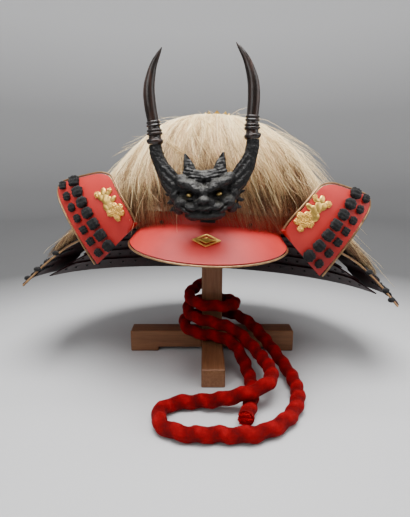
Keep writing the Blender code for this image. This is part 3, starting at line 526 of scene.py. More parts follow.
def cordSurface(bm, line, step):
    shape = cordShape
    rings, grooves = [], []
    for i, (point, (_, side, other)) in enumerate(zip(line, frames(line))):
        along = i * step
        twist = 2 * math.pi * along / shape["pitch"] + shape["sway"] * math.sin(along * shape["swayRate"])
        uneven = noise.noise(Vector((along * shape["unevenRate"], 0, 0))) * shape["uneven"]
        ring = []
        for k in range(shape["sides"]):
            turn = 2 * math.pi * k / shape["sides"]
            wave = math.cos(turn - twist)
            fold = math.cos(shape["folds"] * turn + shape["foldDrift"] * twist)
            radius = shape["radius"] * shape["slim"] + shape["swell"] * wave + shape["fold"] * fold + uneven
            radius += shape["fuzz"] * noise.noise(point * shape["fuzzRate"] + Vector((k * 0.7, 0, 0)))
            at = point + (side * math.cos(turn) + other * math.sin(turn)) * radius
            at.z = max(at.z, shape["floorGap"])
            ring.append(bm.verts.new(at))
            # How deep in a groove each point lies, for the velvet's painted shade
            grooves.append(smooth(0.5 - 0.5 * wave) * 0.8 + 0.2 * (0.5 - 0.5 * fold))
        rings.append(ring)
    skin(bm, rings)
    bm.faces.new(reversed(rings[0]))
    return bm.faces.new(rings[-1]), grooves, side, other


def makeTuft(end, ahead, side, other):
    bm = bmesh.new()
    chancer = random.Random(5)
    for k in range(tuftShape["grains"]):
        reach = cordShape["radius"] * tuftShape["share"] * math.sqrt((k + 0.5) / tuftShape["grains"])
        turn = k * goldenTurn
        at = end + (side * math.cos(turn) + other * math.sin(turn)) * reach
        at += ahead * chancer.uniform(*tuftShape["out"])
        at.z = max(at.z, tuftShape["low"])
        wide = tuftShape["wide"]
        lump(bm, facing(at, ahead), (wide, wide, chancer.uniform(*tuftShape["tall"])), 2)
    return place(fromMesh("cord_cut_end", bm), "velvetEnd", "red_cord")


def makeCord():
    shape = cordShape
    coarse = smoothRoute([mm(*spot) for spot in shape["route"]], shape["nodePoints"])
    for point in coarse:
        point.z = max(point.z, shape["radius"] + shape["floorGap"])
    line = smoothRoute(coarse, shape["steps"])
    length = sum((b - a).length for a, b in zip(line, line[1:]))
    bm = bmesh.new()
    end, grooves, side, other = cordSurface(bm, line, length / (len(line) - 1))
    bmesh.ops.inset_region(bm, faces=[end], thickness=shape["endRim"])
    ahead = (line[-1] - line[-3]).normalized()
    bmesh.ops.translate(bm, verts=list(end.verts), vec=-ahead * shape["endSink"])
    # The cut end gets an even painted shade of its own
    grooves += [shape["endGroove"]] * (len(bm.verts) - len(grooves))
    bm.normal_update()
    piece = fromMesh("red_cord_loops", bm)
    keepValues(piece.data, "groove", grooves)
    place(piece, "velvet", "red_cord", "cord")
    cutEnd = makeTuft(line[-1], ahead, side, other)
    print("cord length", round(length, 4))


makeCord()


# ---- floor, backdrop and light

# A round sweep: floor, then a curved wall on all sides. Its colour is painted light: palest round the object,
# darkest a little way out, lighter again up the wall, and a painted glow grows further out and up the wall
stageShape = {
    "hub": 0.001, "flat": 0.6, "floorRadius": 1.7, "turnRadius": 0.5, "turnSteps": 12, "height": 2.6,
    "sides": 96, "middle": (0.0, -0.15), "blue": 1.01,
    "paperWithPaintedLight": (
        (0.00, 0.50), (0.30, 0.42), (0.46, 0.35), (0.56, 0.24), (0.74, 0.10), (1.60, 0.15), (2.30, 0.21),
        (2.90, 0.32), (3.40, 0.52), (4.00, 0.60),
    ),
    "glow": (
        (0.00, 0.00), (1.00, 0.00), (1.70, 0.03), (2.30, 0.040), (2.90, 0.090), (3.40, 0.24), (4.00, 0.36),
    ),
}


def makeStage():
    shape = stageShape
    radius = shape["turnRadius"]
    profile = [(shape["hub"], 0.0), (shape["flat"], 0.0), (shape["floorRadius"], 0.0)]
    for i in range(1, shape["turnSteps"] + 1):
        turn = math.pi / 2 * i / shape["turnSteps"]
        profile.append((shape["floorRadius"] + radius * math.sin(turn), radius - radius * math.cos(turn)))
    profile.append((shape["floorRadius"] + radius, shape["height"]))
    turns = [2 * math.pi * k / shape["sides"] for k in range(shape["sides"])]
    bm = bmesh.new()
    rings = [
        [bm.verts.new((reach * math.cos(turn), reach * math.sin(turn), up)) for turn in turns]
        for reach, up in profile
    ]
    skin(bm, rings[::-1])
    bm.faces.new(rings[0])
    sweep = fromMesh("studio_sweep", bm)
    paint = Paint("grey studio paper", Roughness=0.8, Specular_IOR_Level=0.15, Emission_Strength=1.0)
    at = paint.node("ShaderNodeTexCoord", output="Object")
    x, y = (paint.split(at, axis) - shape["middle"][axis] for axis in (0, 1))
    reach = (x * x + y * y) ** 0.5 + paint.split(at, 2)
    longest = shape["paperWithPaintedLight"][-1][0]
    for socket, rows in (("Base Color", shape["paperWithPaintedLight"]), ("Emission Color", shape["glow"])):
        stops = [(far / longest, (tone, tone, tone * shape["blue"])) for far, tone in rows]
        paint.feed(socket, paint.ramp(reach * (1 / longest), *stops))
    sweep.data.materials.append(paint.material)


lamps = {
    "overhead": {"at": (0.0, -0.22, 1.35), "aim": (0.0, 0.0, 0.1), "size": 1.1, "watts": 52.0},
    "frontLeft": {"at": (-0.9, -1.2, 0.9), "aim": (0.0, 0.0, 0.2), "size": 0.9, "watts": 8.0},
    "right": {"at": (1.1, -0.4, 0.7), "aim": (0.0, 0.0, 0.2), "size": 0.9, "watts": 6.0},
    "behind": {"at": (0.2, 1.3, 0.9), "aim": (0.0, 0.0, 0.2), "size": 0.9, "watts": 4.0},
}
room = {"Color": (0.62, 0.63, 0.66, 1), "Strength": 0.26}


def makeLights():
    for name, lamp in lamps.items():
        bpy.ops.object.light_add(type="AREA", location=lamp["at"])
        light = bpy.context.active_object
        light.name = name
        light.data.size = lamp["size"]
        light.data.energy = lamp["watts"]
        aim = Vector(lamp["aim"]) - Vector(lamp["at"])
        light.rotation_euler = aim.to_track_quat("-Z", "Y").to_euler()
    world = bpy.data.worlds.new("soft room")
    world.use_nodes = True
    for socket, value in room.items():
        world.node_tree.nodes["Background"].inputs[socket].default_value = value
    bpy.context.scene.world = world


makeStage()
makeLights()
print("stage and lights made")


# ---- solids that keep their shape, finer and with their finish

timbers = {
    "head_block": "woodAcross", "cross_beam": "woodAcross", "front_beam": "woodAhead", "post": "woodUp",
}

# node, piece, finish, slot, levels, crease angle, smooth angle
plainParts = [
    ("bowl", "lacquered_bowl", "red", "red_lacquer", 2, 40, 40),
    ("brim", "lacquered_brim", "red", "red_lacquer", 2, 40, 40),
    ("brim_rim", "brim_edge_binding", "agedGilt", "gilt", 2, 80, 40),
    ("crown_ornament", "crown_petals", "gilt", "gilt", 2, 50, 40),
    ("cord_ring", "hanging_ring", "iron", "dark_iron", 2, 80, 40),
    ("crest_prong", "crest_prong_plate", "iron", "dark_iron", 1, 30, 40),
]
for i in range(1, 6):
    plainParts.append((f"neck_lame_{i}", f"guard_lame_{i}", "maroon", "dark_lacquer", 2, 30, 40))
for side in ("left", "right"):
    plainParts += [
        (f"neck_wing_{side}", f"guard_wing_{side}", "maroon", "dark_lacquer", 1, 30, 30),
        (f"wing_edge_{side}", f"guard_edge_{side}", "agedGilt", "gilt", 2, 80, 40),
        (f"turnback_{side}", f"turned_plate_{side}", "red", "red_lacquer", 2, 40, 40),
        (f"turnback_rim_{side}", f"turned_plate_edge_{side}", "agedGilt", "gilt", 2, 80, 40),
    ]
lozengeEdge = {"width": 0.00025, "segments": 2, "limit_method": "ANGLE", "angle_limit": math.radians(40)}


def makePlainParts():
    for node, finish in timbers.items():
        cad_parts[node].data.materials.clear()
        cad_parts[node].data.materials.append(finishes[finish])
    for node, name, finish, slot, levels, creaseAngle, smoothAngle in plainParts:
        place(refined(node, name, levels, creaseAngle, smoothAngle), finish, slot, node)
    lozenge = refined("brim_crest", "brim_lozenge", 0, 30)
    place(applied(lozenge, "BEVEL", **lozengeEdge), "gilt", "gilt", "brim_crest")


makePlainParts()
print("plain parts finished")


# ---- silk knots on the turned-back plates

# Where the plates' corners lie, in the helmet's frame: the knots take their turn from it
plateShape = {
    "innerTop": (0.1280, -0.0960, 0.0528), "outerTop": (0.1920, -0.0743, 0.0369),
    "innerFold": (0.0820, -0.1102, -0.0040), "outerFold": (0.1315, -0.0948, -0.0547),
    "leftGain": (-0.0090, 0.0, 0.0010), "bulge": 0.0085, "fade": 0.25, "step": 0.05,
}
knotShape = {
    "large": 0.55, "small": 0.8, "ends": (-0.9, 0.9), "perRow": 7, "cuts": 9, "square": 3.4, "dome": 2.2,
    "least": 0.2, "groove": 0.0008, "puff": 0.94, "plait": 4.6, "drift": 1.7, "strands": 13.0,
    "strandDepth": 0.22, "lumps": 1.6, "lumpDepth": 0.0007, "low": 0.9, "swell": 0.18,
}


def plateSpot(side, u, v):
    shape = plateShape
    innerTop = Vector(shape["innerTop"]) + (Vector(shape["leftGain"]) if side < 0 else Vector())
    outerTop, innerFold, outerFold = (Vector(shape[key]) for key in ("outerTop", "innerFold", "outerFold"))
    a, b = (u + 1) / 2, (v + 1) / 2
    out = (outerTop - innerTop).cross(innerFold - innerTop).normalized()
    point = innerTop.lerp(outerTop, a).lerp(innerFold.lerp(outerFold, a), b)
    point -= out * shape["bulge"] * (1 - v * v) * (1 - shape["fade"] * u * u)
    return Vector((point.x * side, point.y, point.z))


def plateTurn(side, u, v):
    step = plateShape["step"]
    across = (plateSpot(side, u + step, v) - plateSpot(side, u - step, v)).normalized()
    down = plateSpot(side, u, v + step) - plateSpot(side, u, v - step)
    out = across.cross(down).normalized()
    out = -out if out.y > 0 else out
    return (helmet.to_3x3() @ Matrix((across, out.cross(across), out)).transposed()).normalized()


def silkKnot(node, turn, seed):
    shape = knotShape
    bm = mergedCopy(node)
    middle = sum((v.co for v in bm.verts), Vector()) / len(bm.verts)
    back = turn.inverted()
    local = [back @ (v.co - middle) for v in bm.verts]
    size = [max(abs(p[k]) for p in local) for k in range(3)]
    bm.free()
    bpy.ops.object.select_all(action="DESELECT")
    bpy.ops.mesh.primitive_cube_add(size=2)
    knot = bpy.context.active_object
    bpy.ops.object.mode_set(mode="EDIT")
    bpy.ops.mesh.subdivide(number_cuts=shape["cuts"])
    bpy.ops.object.mode_set(mode="OBJECT")
    power = shape["square"]
    for vert in knot.data.vertices:
        p = vert.co.copy()
        reach = (abs(p.x) ** power + abs(p.y) ** power + abs(p.z) ** shape["dome"]) ** (1 / power)
        p /= max(reach, shape["least"])
        over = math.sin((p.x + p.y) * shape["plait"] + seed)
        over *= math.sin((p.x - p.y) * shape["plait"] + seed * shape["drift"])
        strands = math.sin((p.x * math.copysign(1, over) + p.y) * shape["strands"])
        lumpy = noise.noise(p * shape["lumps"] + Vector((seed * 3.1, 0, 0))) * shape["lumpDepth"]
        high = size[2] * (shape["low"] + shape["swell"] * abs(over))
        flat = Vector((p.x * size[0], p.y * size[1], p.z * high)) * shape["puff"]
        flat += p.normalized() * (shape["groove"] * (over * 0.8 + shape["strandDepth"] * strands) + lumpy)
        vert.co = middle + turn @ flat
    shade(knot, 180)
    return knot


def makeKnots():
    first, last = knotShape["ends"]
    for side, name in ((-1, "left"), (1, "right")):
        for kind in ("large", "small"):
            pieces, nodes = [], []
            for i in range(knotShape["perRow"]):
                nodes.append(f"{kind}_knot_{name}_{i + 1}")
                down = first + (last - first) * i / (knotShape["perRow"] - 1)
                turn = plateTurn(side, knotShape[kind], down)
                pieces.append(silkKnot(nodes[-1], turn, (i + 1) * 1.9 + side))
            place(joined(f"{kind}_lacing_{name}", pieces), "silk", "black_lacing", *nodes)


makeKnots()
print("knots made")


# ---- where a spot of the view lands on the solids

# How far a line of sight is followed, and where its nearest solid is looked for when it passes all
sight = {"reach": 1.5, "from": 0.30, "step": 0.001, "steps": 420, "near": 0.05}


def lineOfSight(x, y):
    far = camera.data.lens / camera.data.sensor_width * shot["height"]
    tilt = Matrix.Rotation(math.radians(shot["tilt"]), 3, "X")
    ahead = tilt @ Vector((x - shot["width"] / 2, shot["height"] / 2 - y, -far))
    return Vector(shot["at"]), ahead.normalized()


def nearSight(x, y, tree):
    start, ahead = lineOfSight(x, y)
    hit, normal, _, _ = tree.ray_cast(start, ahead, sight["reach"])
    if hit is not None:
        return hit, -normal if normal.dot(ahead) > 0 else normal
    best = None
    for i in range(sight["steps"]):
        point = start + ahead * (sight["from"] + i * sight["step"])
        near, normal, _, gap = tree.find_nearest(point, sight["near"])
        if near is not None and (best is None or gap < best[0]):
            best = (gap, near, normal)
    return best[1], best[2]


# ---- beast mask: lumps melted together, then cut by depth; millimetres in the crest's frame

maskShape = {
    "shift": -1.6, "shiftTop": 46, "voxel": 0.00075, "keep": 0.62,
    "smoothing": {"factor": 0.5, "iterations": 3},
    # place, half sizes, turn; those off the middle are on both sides
    "lumps": (
        ((0, -12, 27), (29, 17, 21), 0), ((0, -15, 41), (22, 13, 8), 0), ((14, -27, 35), (14, 8, 5.5), -20),
        ((8, -31, 31), (8, 6, 4), -30), ((22, -21, 39), (9, 8, 6), -35), ((0, -30, 27), (5, 7, 8), 0),
        ((0, -36, 20), (7, 6, 4.6), 0), ((6, -33, 18), (5, 5, 4), 0), ((11, -28, 13), (12, 8, 6), 12),
        ((0, -32, 12), (9, 7, 4), 0), ((22, -22, 17), (9, 9, 7.5), 0), ((29, -14, 25), (7, 9, 8), 0),
        ((31, -10, 34), (6, 8, 7), 0), ((27, -14, 11), (6, 8, 6), 30), ((0, -25, 4.5), (19, 10, 4.5), 0),
        ((14, -20, 3.5), (7, 9, 4), -20), ((7, -20, 46), (6, 5, 3.6), 0), ((17, -17, 46), (6, 5, 3.4), -25),
        ((0, -24, 41), (4, 5, 4), 0),
    ),
    "ear": ((13.5, -16, 45), (16.5, -15, 55), (19.5, -13.6, 66)), "earWide": (7.0, 5.4, 0.9),
    "arm": ((22.9, 26), (34.1, 38), (43.3, 54), (48.0, 68), (48.7, 76.6)), "armAhead": -12.5,
    "armWide": (8.6, 8.7, 7.8, 6.8, 6.5), "armRings": 14,
    "whiskers": (
        (31, -10, 13, 38, -9, 9), (33, -9, 19, 41, -8, 17), (34, -7, 26, 42, -6, 27),
        (35, -6, 33, 42, -5, 37),
    ),
    "whiskerWide": (0.0034, 0.0022, 0.0004), "whiskerSag": (0.55, 0.0008),
    # place, half sizes, depth; all on both sides
    "cuts": (
        ((14.6, 26.0), (6.4, 3.6), 5.0), ((8.5, 23.5), (3.0, 2.6), 2.0), ((3.2, 16.8), (1.8, 1.3), 2.4),
        ((12.0, 18.5), (5.5, 1.5), 1.5), ((24.0, 27.5), (3.0, 1.8), 1.6), ((0.0, 36.5), (1.3, 5.0), 2.2),
        ((5.2, 40.0), (1.2, 3.5), 1.1), ((15.0, 41.5), (9.0, 1.0), 1.2), ((18.0, 10.0), (2.0, 4.0), 1.1),
    ),
    "cutEdge": 1.1, "mouth": {"up": 8.6, "curve": 0.011, "wave": 1.2, "half": 26, "wide": 1.1, "depth": 2.8},
    "furrows": {"rate": 2.1, "slope": 0.18, "from": 37, "half": 25, "depth": 0.45}, "fade": 6,
    "rough": ((0.33, 0.5), (0.9, 0.35)), "front": 10, "half": 38,
    "earHollow": {"at": 16.4, "half": 3.4, "from": 50, "depth": 2.6},
    "eye": (14.6, -23.6, 25.2), "eyeSize": (3.3, 3.0, 2.5),
}
lockShape = {
    "perArm": 9, "rings": 13, "reach": (0.60, 0.12), "spin": 0.5, "sink": 0.93, "wide": 0.0019, "tip": 0.0002,
    "taper": 0.14,
}


def armWidth(t):
    return readTable(list(enumerate(maskShape["armWide"])), t) / 1000


def armLine(side):
    return [mm(side * x, maskShape["armAhead"], z) for x, z in maskShape["arm"]]


# Carved locks that wind up each arm
def armLocks(bm, side):
    shape = lockShape
    line = armLine(side)
    for k in range(shape["perArm"]):
        first = 2 * math.pi * k / shape["perArm"] + 0.3
        reach = (shape["reach"][0] + shape["reach"][1] * math.sin(5 * k)) * (len(line) - 1)
        path, radii = [], []
        for i in range(shape["rings"]):
            share = i / (shape["rings"] - 1)
            t = share * reach
            low = min(int(t), len(line) - 2)
            at = line[low].lerp(line[low + 1], t - low)
            ahead = (line[low + 1] - line[low]).normalized()
            across = Vector((ahead.z, 0, -ahead.x))
            spin = first + shape["spin"] * t * side
            outward = across * math.cos(spin) + Vector((0, 1, 0)) * math.sin(spin)
            path.append(at + outward * armWidth(t) * shape["sink"])
            taper = math.sin(math.pi * (shape["taper"] + (1 - shape["taper"]) * share))
            radii.append(shape["wide"] * taper + shape["tip"])
        tubeMesh(bm, path, radii, 8)


def cutDepth(x, z):
    shape = maskShape
    mouth, furrows, fade = shape["mouth"], shape["furrows"], shape["fade"]
    depth = 0.0
    for at, size, deep in shape["cuts"]:
        across, up = (abs(x) - at[0]) / size[0], (z - at[1]) / size[1]
        depth += deep * math.exp(-(across * across + up * up) * shape["cutEdge"])
    gap = z - (mouth["up"] + mouth["curve"] * x * x + mouth["wave"] * math.sin(abs(x) * 0.35))
    half = mouth["half"]
    if abs(x) < half:
        depth += mouth["depth"] * math.exp(-((gap / mouth["wide"]) ** 2)) * smooth((half - abs(x)) / fade)
    furrow = math.sin((z - furrows["slope"] * abs(x)) * furrows["rate"])
    inside = smooth((z - furrows["from"]) / 4) * smooth((furrows["half"] - abs(x)) / fade)
    return depth + furrows["depth"] * max(0.0, furrow) * inside


# A vertex of the melted lumps, in millimetres, moved to the carved surface
def carved(p, normal):
    shape, ear = maskShape, maskShape["earHollow"]
    front = smooth((-p.y - shape["front"]) / 8) if abs(p.x) < shape["half"] else 0.0
    p.y += cutDepth(p.x, p.z) * front
    rough = sum(noise.noise(p * rate) * depth for rate, depth in shape["rough"])
    hollow = smooth(1 - abs((abs(p.x) - ear["at"]) / ear["half"]))
    hollow *= smooth((p.z - ear["from"]) / 4) * smooth((-p.y - 14) / 3)
    p += normal * rough
    p.y += ear["depth"] * hollow
    p.x += shape["shift"] * smooth((shape["shiftTop"] - p.z) / 20)
    return Vector((p.x, min(p.y, 0.0), min(p.z, shape["arm"][-1][1] - 0.4)))


def makeMask():
    shape = maskShape
    bm = bmesh.new()
    for (x, y, z), size, turn in shape["lumps"]:
        for side in (1, -1) if x else (1,):
            spin = Matrix.Rotation(math.radians(side * turn), 4, "Y")
            lump(bm, Matrix.Translation(mm(side * x, y, z)) @ spin, mm(*size), 3)
    for side in (1, -1):
        ear = [mm(side * x, y, z) for x, y, z in shape["ear"]]
        tubeMesh(bm, ear, [wide / 1000 for wide in shape["earWide"]], 14)
        count = shape["armRings"]
        widths = [armWidth(i * (len(shape["arm"]) - 1) / (count - 1)) for i in range(count)]
        tubeMesh(bm, smoothRoute(armLine(side), count), widths, 20)
        armLocks(bm, side)
        for x1, y1, z1, x2, y2, z2 in shape["whiskers"]:
            start, end = mm(side * x1, y1, z1), mm(side * x2, y2, z2)
            middle = start.lerp(end, shape["whiskerSag"][0]) - Vector((0, 0, shape["whiskerSag"][1]))
            tubeMesh(bm, [start, middle, end], shape["whiskerWide"], 8)
    mask = fromMesh("beast_mask", bm)
    mask.data.remesh_voxel_size = shape["voxel"]
    applied(mask, "REMESH", mode="VOXEL", voxel_size=shape["voxel"])
    applied(mask, "SMOOTH", **shape["smoothing"])
    normals = [vert.normal.copy() for vert in mask.data.vertices]
    for vert, normal in zip(mask.data.vertices, normals):
        vert.co = carved(vert.co * 1000, normal) / 1000
    mask.data.transform(crest)
    applied(mask, "DECIMATE", ratio=shape["keep"])
    place(mask, "iron", "dark_iron", "crest_mask")
    print("mask faces:", len(mask.data.polygons))
    bm = bmesh.new()
    for side in (1, -1):
        x, y, z = shape["eye"]
        lump(bm, Matrix.Translation(mm(side * x + shape["shift"], y, z)), mm(*shape["eyeSize"]), 3)
    bm.transform(crest)
    place(fromMesh("beast_eyes", bm), "eye", "gilt")


# ---- turned horns: millimetres in the crest's frame; lean and profile are shares, against the height

hornShape = {
    "out": 48.7, "ahead": -12.5, "foot": 76.4, "tall": 89.0, "thick": 6.4, "sides": 28, "leanSteps": 60,
    "plainFrom": 0.27, "plainRings": 60, "sharp": 50,
    "lean": (
        (0.00, 1.000), (0.10, 0.990), (0.25, 1.006), (0.42, 1.039), (0.58, 1.039), (0.72, 0.986),
        (0.85, 0.897), (1.00, 0.728),
    ),
    "profile": (
        (0.0, 1.08), (0.006, 1.12), (0.018, 1.28), (0.030, 1.34), (0.048, 1.32), (0.056, 1.20),
        (0.064, 1.02), (0.085, 0.98), (0.098, 1.00), (0.103, 1.18), (0.112, 1.26), (0.122, 1.26),
        (0.130, 1.18), (0.134, 1.02), (0.141, 1.18), (0.151, 1.22), (0.160, 1.14), (0.166, 0.98),
        (0.188, 0.94), (0.194, 1.08), (0.204, 1.15), (0.214, 1.08), (0.220, 0.94), (0.228, 1.04),
        (0.237, 1.10), (0.246, 1.05), (0.252, 0.92), (0.29, 0.92), (0.40, 0.95), (0.52, 0.94), (0.64, 0.85),
        (0.76, 0.67), (0.88, 0.45), (0.96, 0.24), (1.0, 0.06),
    ),
}


def makeHorns():
    shape = hornShape
    count = shape["plainRings"]
    plain = {shape["plainFrom"] + (1 - shape["plainFrom"]) * i / count for i in range(count + 1)}
    ups = sorted({row[0] for row in shape["profile"]} | plain)
    lean = [(p.y, p.x) for p in smoothRoute([(out, up, 0) for up, out in shape["lean"]], shape["leanSteps"])]
    radii = [shape["thick"] / 1000 * readTable(shape["profile"], up) for up in ups]
    for side, name in ((-1, "left"), (1, "right")):
        points = [
            mm(side * shape["out"] * readTable(lean, up), shape["ahead"], shape["foot"] + up * shape["tall"])
            for up in ups
        ]
        bm = bmesh.new()
        tubeMesh(bm, points, radii, shape["sides"])
        bm.transform(crest)
        horn = fromMesh(f"turned_horn_{name}", bm, shape["sharp"])
        place(horn, "horn", "horn_lacquer", f"horn_{name}")


makeMask()
makeHorns()
print("crest made")


# ---- gilt sprays on the turned-back plates: places as the view shows them

sprayShape = {
    # spot on the left plate, half sizes, turn
    "leaves": (
        ((103.5, 192.0), (2.3, 3.2), 20), ((101.5, 197.5), (2.6, 3.4), 60), ((105.5, 198.5), (3.2, 4.4), 10),
        ((108.5, 202.5), (3.4, 4.6), -10), ((110.5, 207.0), (3.4, 4.4), 20), ((107.0, 207.5), (2.6, 3.6), 50),
        ((113.0, 199.0), (2.0, 3.0), -50), ((108.0, 193.0), (1.8, 2.6), -70), ((98.5, 194.5), (1.8, 2.6), 80),
    ),
    # spot on the left plate, radius, grains
    "blossoms": (
        ((97.5, 195.0), 3.0, 8), ((109.5, 190.8), 2.4, 6), ((113.5, 207.0), 4.2, 16),
        ((119.5, 207.5), 3.4, 12), ((116.0, 213.0), 4.4, 18), ((110.5, 213.0), 3.4, 12),
        ((121.5, 212.5), 3.0, 10), ((118.0, 218.0), 3.0, 10),
    ),
    # two spots of the left plate and where they lie on the right one
    "right": ((97.5, 195.0, 328.5, 204.5), (116.0, 213.0, 303.5, 223.0)),
    "leafScale": 0.0016, "leafTall": 0.0014, "lift": 0.0006, "blossomScale": 0.0013, "blossomTall": 0.0017,
    "grain": (0.0007, 0.0011), "grainTall": 0.0020, "dome": 0.6, "spread": 0.95, "scatter": 0.2,
}


def sprayPoint(at, side):
    if side < 0:
        return at
    (x1, y1, x2, y2), (x3, y3, x4, y4) = sprayShape["right"]
    old, new = complex(x3 - x1, y3 - y1), complex(x4 - x2, y4 - y2)
    mirrored = (complex(at[0] - x1, at[1] - y1) / old).conjugate() * new
    return x2 + mirrored.real, y2 + mirrored.imag


def makeSprays():
    shape = sprayShape
    chancer = random.Random(9)
    for side, name in ((-1, "left"), (1, "right")):
        tree = surfaceTree(f"turnback_{name}")
        bm = bmesh.new()
        for spot, (wide, tall), spin in shape["leaves"]:
            point, normal = nearSight(*sprayPoint(spot, side), tree)
            turn = facing(point + normal * shape["lift"], normal, math.radians(spin * -side))
            lump(bm, turn, (wide * shape["leafScale"], tall * shape["leafScale"], shape["leafTall"]), 3)
        for spot, radius, grains in shape["blossoms"]:
            wide = radius * shape["blossomScale"]
            turn = facing(*nearSight(*sprayPoint(spot, side), tree))
            lump(bm, turn, (wide, wide, shape["blossomTall"]), 3)
            for k in range(2 * grains):
                reach = wide * math.sqrt((k + 0.5) / (2 * grains)) * shape["spread"]
                angle = k * goldenTurn + chancer.uniform(-shape["scatter"], shape["scatter"])
                grain = chancer.uniform(*shape["grain"])
                high = shape["grainTall"] * (1 - (reach / wide) ** 2 * shape["dome"])
                at = turn @ Vector((reach * math.cos(angle), reach * math.sin(angle), high))
                lump(bm, Matrix.Translation(at), (grain, grain, grain), 2)
        place(fromMesh(f"gilt_spray_{name}", bm), "gilt", "gilt", f"turnback_spray_{name}")


makeSprays()
print("sprays made")


# ---- small lacing: knots on the guard's edges, tufts inside and outside the guard, studs on the band

lacingShape = {
    "edgeKnots": ((54, 252), (35, 268), (26, 277), (369.5, 273), (386, 291.5), (391.5, 301)),
    "edgeKnot": (0.0046, 0.0036, 0.0034), "edgeLift": (0, 0.0005, 0.0010),
    "studs": ((162, 222), (250, 225)), "stud": (0.0026, 0.0021, 0.0016), "studLift": 0.0005,
    "lameTuft": (0.0021, 0.0030, 0.0013), "lameShares": (0.55,), "lameTurns": (100, 260), "perLame": 26,
    "wingTuft": (0.0030, 0.0042, 0.0020), "wingTurns": {"left": (-92, -52), "right": (52, 92)}, "perWing": 15,
    "wingShares": (0.05, 0.14, 0.24, 0.34, 0.44, 0.54, 0.64, 0.74, 0.84, 0.93),
    "fuzzRates": (500, 520, 480), "fuzz": 0.0004,
}
# Rays from the middle of the guard find its rows: degrees, metres
tuftRays = {"centre": (0, 0, -0.035), "top": 20, "step": 0.5, "count": 150, "reach": 0.4, "lift": 0.0006}


def spoke(turn, rise):
    return Vector((math.sin(turn) * math.cos(rise), -math.cos(turn) * math.cos(rise), math.sin(rise)))


def rowsOfTufts(bm, node, turns, count, shares, inside, size):
    rays = tuftRays
    tree = surfaceTree(node)
    centre = helmet @ Vector(rays["centre"])
    for i in range(count):
        turn = math.radians(turns[0] + (turns[1] - turns[0]) * i / (count - 1))
        hits = []
        for k in range(rays["count"]):
            ray = helmet.to_3x3() @ spoke(turn, math.radians(rays["top"] - rays["step"] * k))
            start = centre if inside else centre + ray * rays["reach"]
            ray = ray if inside else -ray
            hit, normal, _, _ = tree.ray_cast(start, ray, rays["reach"])
            if hit is not None:
                hits.append((hit, -normal if normal.dot(ray) > 0 else normal))
        if len(hits) < 3:
            continue
        for share in shares:
            hit, normal = hits[int(share * (len(hits) - 1))]
            lump(bm, facing(hit + normal * rays["lift"], normal), size, 1)


def makeLacing():
    shape = lacingShape
    bm = bmesh.new()
    edges = surfaceTree("neck_wing_left", "neck_wing_right", "wing_edge_left", "wing_edge_right")
    for spot in shape["edgeKnots"]:
        point, _ = nearSight(*spot, edges)
        lump(bm, Matrix.Translation(point + Vector(shape["edgeLift"])), shape["edgeKnot"], 3)
    rows = [(f"neck_lame_{i}", shape["lameTurns"], shape["perLame"], "lame") for i in range(1, 6)]
    for name, turns in shape["wingTurns"].items():
        rows.append((f"neck_wing_{name}", turns, shape["perWing"], "wing"))
    for node, turns, count, kind in rows:
        for inside in (True, False):
            rowsOfTufts(bm, node, turns, count, shape[f"{kind}Shares"], inside, shape[f"{kind}Tuft"])
    for vert in bm.verts:
        vert.co += Vector([noise.noise(vert.co * rate) for rate in shape["fuzzRates"]]) * shape["fuzz"]
    place(fromMesh("guard_lacing", bm), "silk", "black_lacing")
    bm = bmesh.new()
    bowl = surfaceTree("bowl", "brim")
    for spot in shape["studs"]:
        point, normal = nearSight(*spot, bowl)
        lump(bm, facing(point + normal * shape["studLift"], normal), shape["stud"], 3)
    place(fromMesh("band_studs", bm), "silk", "black_lacing")


makeLacing()
print("lacing made")


# ---- hair: a matted under-layer and separate strands combed over it

# Metres and degrees in the helmet's frame; shares run from the crown, 0, to the hair's edge, 1
hairShape = {
    "around": 144, "down": 56, "steps": 40, "centre": (0.0, 0.0, -0.02), "reach": 0.4, "top": 88,
    "lowest": -34, "calming": 3, "droop": 0.35, "hang": 0.16, "inset": 0.0022, "lowInset": 1.6,
    "insetFade": 30, "insetMost": 0.0015,
}
# Pairs are a draw's ends, or its middle and spread
# edgeShade, lowShade and depthShade are painted shade
strandShape = {
    "count": 22500, "pieces": 6, "rings": 9, "thick": 0.00028, "thickness": (0.7, 1.25), "taper": 0.72,
    "height": -0.0019, "layers": 0.0021, "unevenHeight": (0, 0.0003), "unevenFirst": (0, 0.02),
    "unevenLast": (0, 0.03), "latestFirst": 0.6, "sideLast": (0.98, 1.10), "sideFrom": 0.9, "sideShare": 0.5,
    "tip": (0.2, 0.8), "cross": (0, 0.05), "looseMiddle": -0.1, "looseHalf": 1.15, "looseShare": 0.10,
    "looseLast": (0.02, 0.09), "gingerShare": 0.03, "gather": 0.72, "swirl": 0.30, "wave": 0.006,
    "relief": 0.0052, "tipLift": 0.0022, "rootSink": 0.0016, "edgeShade": 0.34, "lowShade": 0.60,
    "lowFrom": 0.30, "depthShade": 0.34, "unevenTone": (0, 0.10), "step": 0.02,
}
lockDraws = {
    "count": 560, "wide": 0.0105, "spread": 0.55, "middle": (-math.pi, math.pi), "frontShare": 0.45,
    "frontTurn": (0, 0.95), "crownShare": 0.72, "crownFirst": (0.0, 0.10), "lowFirst": (0.1, 0.5),
    "length": (0.55, 1.0), "last": (0.88, 1.03), "wave": (0, 1.9), "turns": (0.5, 1.3), "phase": (0, 1),
    "rise": (-0.3, 1.0), "tone": (-0.03, 0.24), "swing": (0, 0.11),
}
flyShape = {
    "count": 260, "turn": (-1.9, 1.9), "start": (0.10, 0.8), "length": (0.12, 0.42), "radius": 0.00019,
    "fanShare": 0.25, "fanTurn": (1.05, 0.12), "fanStart": (0.40, 0.06), "fanLength": (0.25, 0.45),
    "fanRise": 0.009, "drift": (0, 0.12), "bend": 0.1, "rise": (0.004, 0.022), "curl": (0.7, 1.8),
    "tone": (0.6, 1.0), "ginger": 0.2,
}
clearance = {"look": 0.0035, "room": 0.0011}


